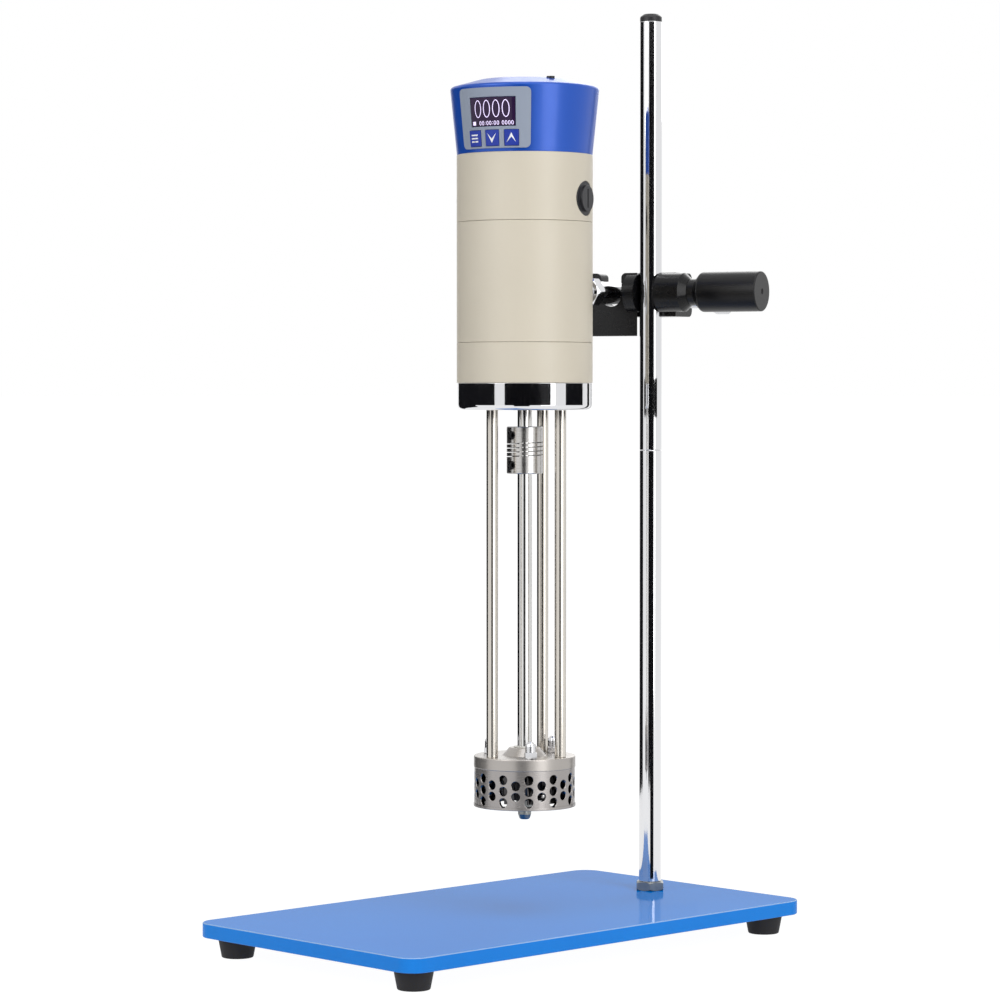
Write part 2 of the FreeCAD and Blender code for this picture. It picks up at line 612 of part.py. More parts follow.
head_in = S.head_low_r - S.head_wall
dome_slope = S.dome_rise / (S.head_rim_r - S.dome_r)
dome_edge_z = S.head_high + S.dome_rise - S.dome_soft * dome_slope
head = turned("head", [
    (head_in - S.spigot_wall, S.upper_high - S.spigot), (head_in - 0.3, S.upper_high - S.spigot),
    (head_in - 0.3, S.upper_high), (S.head_low_r, S.upper_high), (S.head_rim_r, S.head_high),
    (S.dome_r + S.dome_soft, dome_edge_z), (S.dome_r - S.dome_soft, S.head_high + S.dome_rise),
    (0, S.head_high + S.dome_rise), (0, S.head_high + S.dome_rise - S.head_wall), (S.dome_r, S.head_high + S.dome_rise - S.head_wall),
    (S.head_rim_r - S.head_wall, S.head_high - S.head_wall), (head_in, S.upper_high + S.spigot),
    (head_in - S.spigot_wall, S.upper_high + S.spigot)])
dressed(head, "Fillet", "Radius", S.rim_round, circle_at(S.head_rim_r, S.head_high))
window = box(-S.head_rim_r * 2, -S.head_rim_r * 0.6, -S.board_half_width, S.board_half_width,
             S.key_low - 0.6, S.display_high + 0.4)
screw_seat_z = S.head_high + (S.head_rim_r - S.head_screw_place) * dome_slope - S.head_screw


def on_dome(solid, turn):
    put(solid, S.head_screw_place * cosine(turn), S.head_screw_place * sine(turn), screw_seat_z)
    return solid


screw_seats = [on_dome(cylinder(S.head_screw_r + S.head_screw_gap, S.head_wall * 3), turn)
               for turn in HEAD_SCREW_ANGLES]
piece_of("head_cover", cut(head, window, *screw_seats), MOTOR)
head_screws = [on_dome(cut(cylinder(S.head_screw_r, S.head_screw + 1),
                           box(-S.head_screw_r, S.head_screw_r, -S.screw_slot / 2, S.screw_slot / 2,
                               S.head_screw + 0.4, S.head_screw + 2)), turn)
               for turn in HEAD_SCREW_ANGLES]
piece_of("head_screws", gathered(*head_screws), MOTOR)


def flared_patch(name, angle, low, high, back, proud):
    """A plate bent round the flared face, centred on the side away from the column."""
    return turned(name, [(flare_r(low, back), low), (flare_r(low, proud), low),
                         (flare_r(high, proud), high), (flare_r(high, back), high)], angle)


def upright_at(reach):
    """A test for the upright edges of a bent plate that stand on its outer face."""
    def wanted(edge):
        far = max(math.hypot(corner.X, corner.Y) for corner in edge.Vertexes)
        return edge.BoundBox.ZLength > 5 and far > as_size(reach).value
    return wanted


# Panel: a grey plate with a window for the display and three for the keys.
panel = flared_patch("panel", S.panel_angle, S.panel_low, S.panel_high, 0.05, S.panel_proud)
dressed(panel, "Fillet", "Radius", S.panel_round,
        lambda edge: edge.Length < 2 and edge.BoundBox.ZLength < 1)
display_hole = flared_patch("display_hole", S.display_angle + 0.6, S.display_low - 0.25,
                            S.display_high + 0.25, -4, 6)
KEY_STEPS = {"key_down": 0, "key_up": 1, "key_menu": -1}
key_holes = []
for name, step in KEY_STEPS.items():
    hole = flared_patch("hole", S.key_angle + 0.6, S.key_low - 0.25, S.key_high + 0.25, -4, 6)
    key_holes.append(spun(step * S.key_pitch.value, hole))
face_turn = 180
piece_of("control_panel", cut(panel, display_hole, *key_holes), MOTOR, face_turn)
display = flared_patch("display", S.display_angle, S.display_low, S.display_high, -1.2, S.display_proud)
piece_of("display_window", display, MOTOR, face_turn)
for name, step in KEY_STEPS.items():
    key = flared_patch(name, S.key_angle, S.key_low, S.key_high, -S.key_back, S.key_proud)
    dressed(key, "Chamfer", "Size", S.key_bevel, upright_at(S.head_low_r + S.key_proud))
    piece_of(name, gathered(key), MOTOR, face_turn + step * S.key_pitch)

# Boards behind the panel and under the dome.
key_board = box(-S.key_board_r, -S.key_board_r + S.board_thick, -S.board_half_width + 1,
                S.board_half_width - 1, S.key_low, S.display_high - 2)
piece_of("key_board", key_board, MOTOR)
main_board = cylinder(S.main_board_r, S.board_thick, z=S.main_board_z)
board_gap = box(-S.head_rim_r, -S.key_board_r + 6, -S.head_rim_r, S.head_rim_r, S.key_low, S.head_high)
posts = [cylinder(S.post_r, S.head_high + S.dome_rise - S.head_wall - S.main_board_z - S.board_thick,
                  x=S.dome_r * 0.6 * cosine(turn), y=S.dome_r * 0.6 * sine(turn),
                  z=S.main_board_z + S.board_thick) for turn in POST_ANGLES]
piece_of("control_board", cut(main_board, board_gap), MOTOR)
piece_of("board_posts", gathered(*posts), MOTOR)

# Sockets at the back: an aluminium boss that takes the arm, and a gland for the mains lead.
socket = turned("socket", [
    (S.arm_r + S.slack, S.socket_in), (S.socket_r, S.socket_in), (S.socket_r, S.socket_out),
    (S.arm_r + S.slack, S.socket_out)])
dressed(socket, "Chamfer", "Size", 1, circle_at(S.socket_r, S.socket_out))
socket.Placement = Placement(Vector(0, 0, S.arm_height.value), ALONG_X)
bind(socket, "Placement.Base.z", S.arm_height)
piece_of("arm_socket", gathered(socket), MOTOR)
gland = turned("gland", [
    (S.gland_bore_r, S.shell_r - 6), (S.gland_r, S.shell_r - 6), (S.gland_r, S.shell_r + 0.6),
    (S.gland_flange_r, S.shell_r + 0.6), (S.gland_flange_r, S.shell_r + 0.6 + S.gland_flange),
    (S.gland_r - 1, S.gland_out), (S.gland_bore_r, S.gland_out)])
gland.Placement = Placement(Vector(0, 0, S.gland_z.value), ALONG_X)
bind(gland, "Placement.Base.z", S.gland_z)
piece_of("cable_gland", gathered(gland), MOTOR)


def tube(name, inner, outer, low, high):
    return turned(name, [(inner, low), (outer, low), (outer, high), (inner, high)])


# Motor: wound stator and armature, commutator and brushes, fan, and a bearing at each end.
piece_of("lower_bearing", tube("lower_ball_race", S.shaft_r + S.slack, S.bearing_r, S.bearing_low,
                               S.bearing_low + S.bearing_thick), MOTOR)
piece_of("upper_bearing", tube("upper_ball_race", S.shaft_r + S.slack, S.top_bearing_r,
                               S.top_bearing_low, S.top_bearing_low + S.top_bearing_thick), MOTOR)
carrier_high = S.bearing_plate_low + S.bearing_plate_thick
bearing_plate = turned("bearing_carrier", [
    (S.shaft_r + 1.5, S.bearing_plate_low), (S.shell_r - S.shell_wall, S.bearing_plate_low),
    (S.shell_r - S.shell_wall, S.bearing_plate_low + 3), (S.bearing_r + 2, S.bearing_plate_low + 3),
    (S.bearing_r + 2, carrier_high), (S.top_bearing_r, carrier_high),
    (S.top_bearing_r, S.top_bearing_low), (S.shaft_r + 1.5, S.top_bearing_low)])
vents = sketch_in(bearing_plate, "XY_Plane", "vents")
for turn in range(0, 360, 60):
    circle(vents, 5, 28 * cosine(turn), 28 * sine(turn))
pocketed(bearing_plate, vents, None, True)
piece_of("upper_bearing_plate", bearing_plate, MOTOR)

field_inner = S.armature_r + S.air_gap
field = tube("field", field_inner, S.field_r, S.stack_low, S.stack_high)
flats = sketch_in(field, "XY_Plane", "air_ways")
for turn in (45, 135, 225, 315):
    circle(flats, 6, S.field_r * cosine(turn), S.field_r * sine(turn))
pocketed(field, flats, None, True)
piece_of("field_core", field, MOTOR)
coil_low = tube("coil_low", field_inner + 2, S.field_coil_r, S.stack_low - S.coil_thick, S.stack_low)
coil_high = tube("coil_high", field_inner + 2, S.field_coil_r, S.stack_high, S.stack_high + S.coil_thick)
for coil, edge_z in ((coil_low, S.stack_low - S.coil_thick), (coil_high, S.stack_high + S.coil_thick)):
    dressed(coil, "Chamfer", "Size", S.coil_bevel, circle_at(S.field_coil_r, edge_z))
piece_of("field_windings", gathered(coil_low, coil_high), MOTOR)

shaft = turned("motor_spindle", [
    (0, S.shaft_low), (S.shaft_r - 0.5, S.shaft_low), (S.shaft_r, S.shaft_low + 0.5),
    (S.shaft_r, S.shaft_high), (0, S.shaft_high)])
piece_of("motor_shaft", shaft, MOTOR)
stack = tube("armature_stack", S.shaft_r, S.armature_r, S.stack_low, S.stack_high)
slots = sketch_in(stack, "XY_Plane", "winding_slots")
for turn in range(0, 360, 30):
    circle(slots, 1.8, (S.armature_r - 1) * cosine(turn), (S.armature_r - 1) * sine(turn))
pocketed(stack, slots, None, True)
ends = [tube("armature_coil", S.shaft_r, S.coil_r, low, low + S.coil_thick)
        for low in (S.stack_low - S.coil_thick, S.stack_high)]
piece_of("armature", fused(stack, *ends), MOTOR)
segments = turned("segments", [
    (S.shaft_r, S.commutator_low), (S.commutator_r + 1.5, S.commutator_low),
    (S.commutator_r + 1.5, S.commutator_low + 2), (S.commutator_r, S.commutator_low + 2),
    (S.commutator_r, S.commutator_high - 2), (S.shaft_r, S.commutator_high - 2)])
piece_of("commutator", segments, MOTOR)
fan_disc = tube("fan_disc", S.shaft_r, S.fan_r, S.fan_low, S.fan_low + S.fan_plate)
fan_hub = tube("fan_hub", S.shaft_r, S.shaft_r + 4, S.fan_low, S.fan_high)
blades = [spun(turn, box(S.shaft_r + 3, S.fan_r - 1, -S.fan_blade / 2, S.fan_blade / 2, S.fan_low, S.fan_high))
          for turn in range(0, 360, 40)]
piece_of("cooling_fan", fused(fan_disc, fan_hub, *blades), MOTOR)

brushes = []
holders = []
caps = []
for side in (1, -1):
    turn = ALONG_Y if side > 0 else Rotation(Vector(1, 0, 0), 90)
    near, far = sorted((S.brush_start * side, S.brush_end * side), key=lambda size: size.value)
    brushes.append(box(-S.brush_half, S.brush_half, near, far, S.brush_z - S.brush_tall,
                       S.brush_z + S.brush_tall))
    near, far = sorted((S.holder_start * side, S.holder_end * side), key=lambda size: size.value)
    barrel = cylinder(S.holder_r, S.holder_end - S.holder_start, y=S.holder_start * side,
                      z=S.brush_z, turn=turn)
    holders.append(cut(barrel, box(-S.brush_half - 0.1, S.brush_half + 0.1, near - 1, far + 1,
                                   S.brush_z - S.brush_tall - 0.1, S.brush_z + S.brush_tall + 0.1)))
    disc_start = S.shell_r - S.shell_wall - 1
    disc = cylinder(S.brush_cap_r - S.slack, S.shell_wall + 1 - 0.6, y=disc_start * side,
                    z=S.brush_z, turn=turn)
    knob = cylinder(S.brush_boss_r, S.brush_boss + 0.6, y=(S.shell_r - 0.6) * side, z=S.brush_z, turn=turn)
    groove_start = (S.shell_r + S.brush_boss - S.brush_slot_deep) * side
    near, far = sorted((groove_start, groove_start + 4 * side), key=lambda size: size.value)
    groove = box(-S.brush_slot / 2, S.brush_slot / 2, near, far, S.brush_z - 6.5, S.brush_z + 6.5)
    caps.append(cut(fused(disc, knob), groove))
piece_of("carbon_brushes", gathered(*brushes), MOTOR)
piece_of("brush_holders", gathered(*holders), MOTOR)
piece_of("brush_caps", gathered(*caps), MOTOR)

# Helical beam coupling: one bar with a fine spiral slit that lets the two shafts misalign.
coupling = tube("beam_coupling", S.shaft_r, S.coupling_r, S.coupling_low, S.coupling_high)
for height in (S.coupling_low, S.coupling_high):
    dressed(coupling, "Chamfer", "Size", 0.5, circle_at(S.coupling_r, height))
slit = sketch_in(coupling, "XZ_Plane", "slit_section")
outline(slit, [(S.shaft_r - 1, S.slit_low), (S.coupling_r + 1, S.slit_low),
               (S.coupling_r + 1, S.slit_low + S.slit_gap), (S.shaft_r - 1, S.slit_low + S.slit_gap)])
solid_volume = coupling.Shape.Volume
spiral = coupling.newObject("PartDesign::SubtractiveHelix", "spiral_slit")
spiral.Profile = slit
spiral.ReferenceAxis = (slit, ["V_Axis"])
spiral.Mode = 0
bind(spiral, "Pitch", S.slit_pitch)
bind(spiral, "Height", S.slit_pitch * S.slit_turns)
doc.recompute()
if coupling.Shape.Volume > solid_volume - 100:
    raise RuntimeError("the spiral slit took nothing away")
screw_heights = (S.coupling_low + S.set_screw_inset, S.coupling_high - S.set_screw_inset)
screw_holes = sketch_in(coupling, "XZ_Plane", "set_screw_holes")
for height in screw_heights:
    circle(screw_holes, S.set_screw_r + S.slack, 0, height)
pocketed(coupling, screw_holes, None, False)
coupling_turn = SET_SCREW_ANGLE - 90
piece_of("shaft_coupling", coupling, MOTOR, coupling_turn)
set_screws = [cut(cylinder(S.set_screw_r, S.coupling_r - S.shaft_r - 0.9, y=S.shaft_r + 0.1, z=height, turn=ALONG_Y),
                  hexagon(3, 3, 0, S.coupling_r - 3, height, ALONG_Y)) for height in screw_heights]
piece_of("coupling_screws", gathered(*set_screws), MOTOR, coupling_turn)

# Working shaft and shear head: a toothed rotor turning inside a perforated cage.
work_high = S.shaft_low - S.shaft_gap
nut_top = S.rotor_low
work = turned("work_spindle", [
    (0, nut_top - S.rotor_nut_hex), (S.rotor_bore_r, nut_top - S.rotor_nut_hex),
    (S.rotor_bore_r, S.rotor_high), (S.shaft_r, S.rotor_high), (S.shaft_r, work_high - 0.5),
    (S.shaft_r - 0.5, work_high), (0, work_high)])
piece_of("drive_shaft", work, MOTOR)

plate_base = S.cage_high
deck = S.cage_high + S.head_plate_thick
head_plate = turned("shear_plate", [
    (S.bush_r, plate_base), (S.head_plate_r, plate_base), (S.head_plate_r, deck - 0.6),
    (S.head_plate_r - 0.6, deck), (S.boss_r, deck), (S.boss_top_r, deck + S.boss_high),
    (S.bush_r, deck + S.boss_high)])
bolt_holes = sketch_in(head_plate, "XY_Plane", "bolt_holes")
for turn in GUIDE_ANGLES:
    circle(bolt_holes, S.guide_stud_r + S.slack, S.guide_ring_r * cosine(turn), S.guide_ring_r * sine(turn))
for turn in NUT_ANGLES:
    circle(bolt_holes, S.stud_r + S.slack, S.stud_ring_r * cosine(turn), S.stud_ring_r * sine(turn))
pocketed(head_plate, bolt_holes, None, True)
piece_of("head_plate", head_plate, MOTOR)
piece_of("head_bush", tube("bush", S.shaft_r + S.slack, S.bush_r, plate_base - 2, deck + S.boss_high + 0.8),
         MOTOR)

guides = []
for turn in GUIDE_ANGLES:
    guide = turned("guide", [
        (0, plate_base), (S.guide_stud_r, plate_base), (S.guide_stud_r, deck), (S.guide_r, deck),
        (S.guide_r, S.ring_low), (S.guide_stud_r, S.ring_low),
        (S.guide_stud_r, S.ring_low + S.ring_floor - 1), (0, S.ring_low + S.ring_floor - 1)])
    put(guide, S.guide_ring_r * cosine(turn), S.guide_ring_r * sine(turn), 0)
    guides.append(guide)
piece_of("guide_rods", gathered(*guides), MOTOR)

cage_ceiling = S.cage_high - S.cage_top
cage = turned("cage", [
    (S.inlet_r, S.cage_low), (S.lip_r, S.cage_low), (S.lip_r, S.cage_low + S.lip_high),
    (S.cage_r, S.cage_low + S.lip_high), (S.cage_r, S.cage_high), (S.bush_r + 0.5, S.cage_high),
    (S.bush_r + 0.5, cage_ceiling), (S.cage_r - S.cage_wall, cage_ceiling),
    (S.cage_r - S.cage_wall, S.cage_low + S.lip_high + 0.5), (S.inlet_r, S.cage_low + S.lip_high)])
stud_seats = sketch_in(cage, "XY_Plane", "stud_seats")
for turn in NUT_ANGLES:
    seat_turn = turn - CAGE_TURN
    circle(stud_seats, S.stud_r, S.stud_ring_r * cosine(seat_turn), S.stud_ring_r * sine(seat_turn))
pocketed(cage, stud_seats, None, True)
for turn, count in ((0, 3), (180 / S.hole_columns.value, 2)):
    column = sketch_in(cage, "XZ_Plane", "holes_of_%d" % count, turn)
    for row in range(count):
        circle(column, S.hole_r, 0, S.cage_low + S.hole_first + (row + (3 - count) / 2) * S.hole_pitch)
    first = pocketed(cage, column)
    ring_of_holes = cage.newObject("PartDesign::PolarPattern", "ring_of_%d" % count)
    ring_of_holes.Originals = [first]
    ring_of_holes.Axis = (column, ["V_Axis"])
    ring_of_holes.Angle = 360
    ring_of_holes.Occurrences = int(S.hole_columns.value)
    cage.Tip = ring_of_holes
    doc.recompute()
piece_of("stator_cage", cage, MOTOR, CAGE_TURN)

studs = []
nuts = []
for turn in NUT_ANGLES:
    x, y = S.stud_ring_r * cosine(turn), S.stud_ring_r * sine(turn)
    studs.append(cylinder(S.stud_r, deck + S.acorn_hex - cage_ceiling, x, y, cage_ceiling))
    crown = turned("crown", [
        (0, deck + S.acorn_hex), (S.acorn_dome_r, deck + S.acorn_hex),
        (S.acorn_dome_r, deck + S.acorn_high - 3), (S.acorn_dome_r - 1, deck + S.acorn_high - 1),
        (S.acorn_dome_r - 2.3, deck + S.acorn_high), (0, deck + S.acorn_high)])
    put(crown, x, y, 0)
    hex_part = cut(hexagon(S.acorn_across, S.acorn_hex, x, y, deck), cylinder(S.stud_r, S.acorn_hex, x, y, deck))
    nuts.append(fused(hex_part, crown))
piece_of("cage_studs", gathered(*studs), MOTOR)
piece_of("acorn_nuts", gathered(*nuts), MOTOR)

rotor = turned("shear_rotor", [
    (S.rotor_bore_r, S.rotor_low), (S.rotor_hub_r, S.rotor_low),
    (S.rotor_hub_r, S.rotor_high - S.rotor_disc), (S.rotor_r, S.rotor_high - S.rotor_disc),
    (S.rotor_r, S.rotor_high), (S.rotor_bore_r, S.rotor_high)])
tooth_section = sketch_in(rotor, "XZ_Plane", "tooth_section")
outline(tooth_section, [
    (S.rotor_r - S.tooth_thick, S.rotor_low), (S.rotor_r, S.rotor_low),
    (S.rotor_r, S.rotor_high - S.rotor_disc / 2), (S.rotor_r - S.tooth_thick, S.rotor_high - S.rotor_disc / 2)])
tooth = rotor.newObject("PartDesign::Revolution", "tooth")
tooth.Profile = tooth_section
tooth.ReferenceAxis = (tooth_section, ["V_Axis"])
bind(tooth, "Angle", S.tooth_wide / S.rotor_r * 57.29578)
doc.recompute()
teeth = rotor.newObject("PartDesign::PolarPattern", "teeth")
teeth.Originals = [tooth]
teeth.Axis = (tooth_section, ["V_Axis"])
teeth.Angle = 360
teeth.Occurrences = int(S.rotor_teeth.value)
rotor.Tip = teeth
doc.recompute()
piece_of("rotor", rotor, MOTOR)
nut_hex = hexagon(S.rotor_nut_across, S.rotor_nut_hex, z=nut_top - S.rotor_nut_hex)
nut_dome = turned("nut_dome", [
    (0, S.rotor_nut_low), (S.rotor_nut_dome_r - 2, S.rotor_nut_low),
    (S.rotor_nut_dome_r, S.rotor_nut_low + 3), (S.rotor_nut_dome_r, nut_top - S.rotor_nut_hex),
    (0, nut_top - S.rotor_nut_hex)])
dressed(nut_dome, "Fillet", "Radius", 1.5, circle_at(S.rotor_nut_dome_r, S.rotor_nut_low + 3))
rotor_nut = cut(fused(nut_hex, nut_dome),
                cylinder(S.rotor_bore_r, S.rotor_nut_hex, z=nut_top - S.rotor_nut_hex))
piece_of("rotor_nut", rotor_nut, MOTOR)

os.makedirs("parts", exist_ok=True)
doc.recompute()
for thing in doc.Objects:
    if "Invalid" in thing.State or "Error" in thing.State:
        raise RuntimeError("%s (%s) failed: %s" % (thing.Name, thing.Label, thing.State))
for label, thing in pieces.items():
    shape = thing.Shape
    if shape.isNull() or not shape.isValid() or not shape.Solids:
        raise RuntimeError("%s has no sound solid" % label)
    shape.exportStep("parts/%s.step" % label)
    print("%-22s %8.1f cm3  %d solids" % (label, shape.Volume / 1000, len(shape.Solids)))
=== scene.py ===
import math
import bmesh
import bpy
from mathutils import Matrix, Vector


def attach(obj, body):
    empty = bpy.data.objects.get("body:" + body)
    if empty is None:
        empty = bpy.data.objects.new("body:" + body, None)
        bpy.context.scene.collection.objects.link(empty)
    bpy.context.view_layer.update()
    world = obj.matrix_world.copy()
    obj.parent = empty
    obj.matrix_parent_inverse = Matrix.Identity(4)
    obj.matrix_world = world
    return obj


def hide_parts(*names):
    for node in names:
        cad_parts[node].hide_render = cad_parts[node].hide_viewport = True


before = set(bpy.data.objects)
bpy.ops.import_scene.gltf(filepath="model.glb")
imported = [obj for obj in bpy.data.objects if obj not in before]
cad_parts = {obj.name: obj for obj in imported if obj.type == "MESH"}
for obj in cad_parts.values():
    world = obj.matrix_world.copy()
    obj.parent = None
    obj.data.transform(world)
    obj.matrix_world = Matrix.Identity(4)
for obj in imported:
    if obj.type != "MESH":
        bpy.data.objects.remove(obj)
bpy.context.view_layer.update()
scene = bpy.context.scene


# The camera stands 2.4 m away with a long lens, at the height of the chromed ring,
# and looks across the plate at 46 degrees.
def linked(name, data):
    """A new object in the scene."""
    thing = bpy.data.objects.new(name, data)
    scene.collection.objects.link(thing)
    return thing


SIGHT = Vector((0.695, 0.719, 0)).normalized()
MIDDLE_ROW, EYE_LEVEL_ROW, FOCAL_PIXELS = 500, 392.5, 3464
TIP_DOWN = math.atan2(MIDDLE_ROW - EYE_LEVEL_ROW, FOCAL_PIXELS)
TURN_LEFT = 0.0022
camera_data = bpy.data.cameras.new("camera")
camera_data.sensor_width = 36
camera_data.lens = 124.7
camera = linked("camera", camera_data)
camera.location = (-1.672, -1.731, 0.385)
ahead = Matrix.Rotation(TURN_LEFT, 3, "Z") @ SIGHT
looking = ahead * math.cos(TIP_DOWN) + Vector((0, 0, -math.sin(TIP_DOWN)))
camera.rotation_euler = looking.to_track_quat("-Z", "Y").to_euler()
scene.camera = camera
scene.view_settings.view_transform = "Standard"


# The studio: a white floor and backdrop, soft boxes in front, above, on the right and behind,
# and dark cards that only show as the dark bands in polished metal.
class Signal:
    """A number or a colour on its way through the nodes of a finish."""

    def __init__(self, finish, socket):
        self.finish = finish
        self.socket = socket

    def worked(self, operation, first, second):
        return self.finish.node("Math", {"operation": operation}, {0: first, 1: second})

    def __add__(self, other):
        return self.worked("ADD", self, other)

    def __radd__(self, other):
        return self.worked("ADD", other, self)

    def __sub__(self, other):
        return self.worked("SUBTRACT", self, other)

    def __rsub__(self, other):
        return self.worked("SUBTRACT", other, self)

    def __mul__(self, other):
        return self.worked("MULTIPLY", self, other)

    def __rmul__(self, other):
        return self.worked("MULTIPLY", other, self)


class Shading:
    """A node tree of shaders, emptied and built up again."""

    def __init__(self, owner):
        owner.use_nodes = True
        self.tree = owner.node_tree
        self.tree.nodes.clear()

    def node(self, kind, settings, inputs, output=0):
        """A new node's output. Its inputs take numbers, vectors, colours and signals."""
        made = self.tree.nodes.new("ShaderNode" + kind)
        for field, value in settings.items():
            setattr(made, field, value)
        for field, value in inputs.items():
            if isinstance(value, Signal):
                self.tree.links.new(value.socket, made.inputs[field])
            elif isinstance(value, tuple) and made.inputs[field].type == "RGBA":
                made.inputs[field].default_value = (*value, 1)
            else:
                made.inputs[field].default_value = value
        return Signal(self, made.outputs[output]) if made.outputs else None

    def seen(self):
        """One for the camera and in reflections, and zero for all other light."""
        paths = self.node("LightPath", {}, {}).socket.node.outputs
        return (Signal(self, paths["Is Camera Ray"]) + Signal(self, paths["Is Glossy Ray"])
                + Signal(self, paths["Is Transmission Ray"]))


class Finish(Shading):
    """A surface finish: a Principled shader, and the nodes that vary it."""

    def __init__(self, name, **constants):
        self.material = bpy.data.materials.new(name)
        super().__init__(self.material)
        self.skin = self.node("BsdfPrincipled", {}, {
            field.replace("_", " ").title().replace("Ior", "IOR"): value
            for field, value in constants.items()})
        self.node("OutputMaterial", {}, {"Surface": self.skin})

    def feed(self, field, value):
        self.tree.links.new(value.socket, self.skin.socket.node.inputs[field])

    def show(self, share, first, second):
        """Show a mix of two shaders in place of the skin alone."""
        mixed = self.node("MixShader", {}, {0: share, 1: first, 2: second})
        self.tree.links.new(mixed.socket, self.tree.nodes["Material Output"].inputs["Surface"])

    def place(self, stretch=(1, 1, 1)):
        """The object's own coordinates in metres, stretched along each axis."""
        return self.node("Mapping", {}, {
            "Vector": self.node("TexCoord", {}, {}, "Object"), "Scale": stretch})

    def painted_shade_within(self, centre, radius, soft=0.0003):
        """One where the surface lies nearer an upright axis than a radius, all in metres: the mask
        for painted shade in hollows.
        """
        flat = self.node("VectorMath", {"operation": "SUBTRACT"}, {
            0: self.place((1, 1, 0)), 1: centre})
        across = self.node("VectorMath", {"operation": "LENGTH"}, {0: flat}, 1)
        return 1 - self.step(across, radius - soft, radius)

    def grain(self, scale, stretch=(1, 1, 1), detail=3):
        return self.node("TexNoise", {}, {"Vector": self.place(stretch), "Scale": scale,
                                          "Detail": detail, "Roughness": 0.6})

    def step(self, value, low, high):
        """Zero below one number and one above the other, smooth between them."""
        return self.node("MapRange", {"interpolation_type": "SMOOTHSTEP"}, {
            "Value": value, "From Min": low, "From Max": high})

    def blend(self, share, first, second):
        return self.node("Mix", {"data_type": "RGBA"}, {0: share, 6: first, 7: second}, 2)

    def relief(self, height, depth, strength=1.0):
        self.feed("Normal", self.node("Bump", {}, {
            "Height": height, "Distance": depth, "Strength": strength}))


def shade(red, green, blue):
    """A colour as it looks on a screen, 0 to 255, in the linear numbers that shaders take."""
    return tuple(((value / 255 + 0.055) / 1.055) ** 2.4 if value > 10 else value / 255 / 12.92
                 for value in (red, green, blue))


FLOOR_HALF = 250.0
FLOOR_LIFT = 0.86
floor_mesh = bpy.data.meshes.new("studio_floor")
floor_mesh.from_pydata([(-FLOOR_HALF, -FLOOR_HALF, 0), (FLOOR_HALF, -FLOOR_HALF, 0),
                        (FLOOR_HALF, FLOOR_HALF, 0), (-FLOOR_HALF, FLOOR_HALF, 0)],
                       [], [(0, 1, 2, 3)])
floor_paint = Finish("floor_paint", base_color=(0.9, 0.9, 0.9), roughness=0.9,
                     specular_ior_level=0.0)
glow = floor_paint.node("Emission", {}, {"Color": (1.0, 1.0, 1.0), "Strength": 1.14})
floor_paint.show(floor_paint.seen() * FLOOR_LIFT, floor_paint.skin, glow)
floor_mesh.materials.append(floor_paint.material)
linked("studio_floor", floor_mesh)

world = bpy.data.worlds.new("studio")
scene.world = world
WORLD_FILL = 0.3
sky = Shading(world)
white = sky.node("Background", {}, {
    "Color": (1.0, 1.0, 1.0), "Strength": sky.seen() * (1 - WORLD_FILL) + WORLD_FILL})
sky.node("OutputWorld", {}, {"Surface": white})


LAMPS_AT_X = 0.05


def lamp(name, turn, distance, height, width, tall, power):
    """A soft box that looks at the motor, turned so many degrees to the right of the camera."""
    data = bpy.data.lights.new(name, "AREA")
    data.shape = "RECTANGLE"
    data.size = width
    data.size_y = tall
    data.energy = power
    thing = linked(name, data)
    away = Matrix.Rotation(math.radians(turn), 3, "Z") @ -SIGHT
    thing.location = away * distance + Vector((LAMPS_AT_X, 0, height))
    aim = Vector((LAMPS_AT_X, 0, 0.3)) - thing.location
    thing.rotation_euler = aim.to_track_quat("-Z", "Y").to_euler()


lamp("front_box", turn=-50, distance=2.4, height=1.5, width=1.6, tall=1.6, power=22)
lamp("top_box", turn=20, distance=0.9, height=2.4, width=1.8, tall=1.8, power=15)
lamp("tall_box", turn=38, distance=1.7, height=0.75, width=0.8, tall=1.7, power=12)
lamp("back_box", turn=165, distance=2.2, height=1.4, width=1.4, tall=1.4, power=11)

# A ray that climbs from the plate passes through the cards, so the plate doesn't mirror them.
card_paint = Finish("card_paint", base_color=(0.012, 0.012, 0.014), roughness=0.9,
                    specular_ior_level=0.0)
incoming = card_paint.node("NewGeometry", {}, {}, "Incoming")
fall = card_paint.node("SeparateXYZ", {}, {0: incoming}, "Z")
card_paint.show(card_paint.step(fall, -0.135, -0.125),
                card_paint.node("BsdfTransparent", {}, {}), card_paint.skin)


def dark_card(number, start, end, distance, centre, heights):
    """A bent dark card, seen only in polished metal, between two turns from the camera's side."""
    steps = 8
    points = []
    for height in heights:
        for step in range(steps + 1):
            turn = math.radians(start + (end - start) * step / steps)
            out = Matrix.Rotation(turn, 3, "Z") @ -SIGHT * distance
            points.append((centre[0] + out.x, centre[1] + out.y, height))
    mesh = bpy.data.meshes.new("dark_card")
    mesh.from_pydata(points, [], [(step, step + 1, step + steps + 2, step + steps + 1)
                                  for step in range(steps)])
    mesh.materials.append(card_paint.material)
    card = linked("dark_card_%d" % number, mesh)
    card.visible_camera = False
    card.visible_diffuse = False
    card.visible_shadow = False
    card.visible_transmission = False


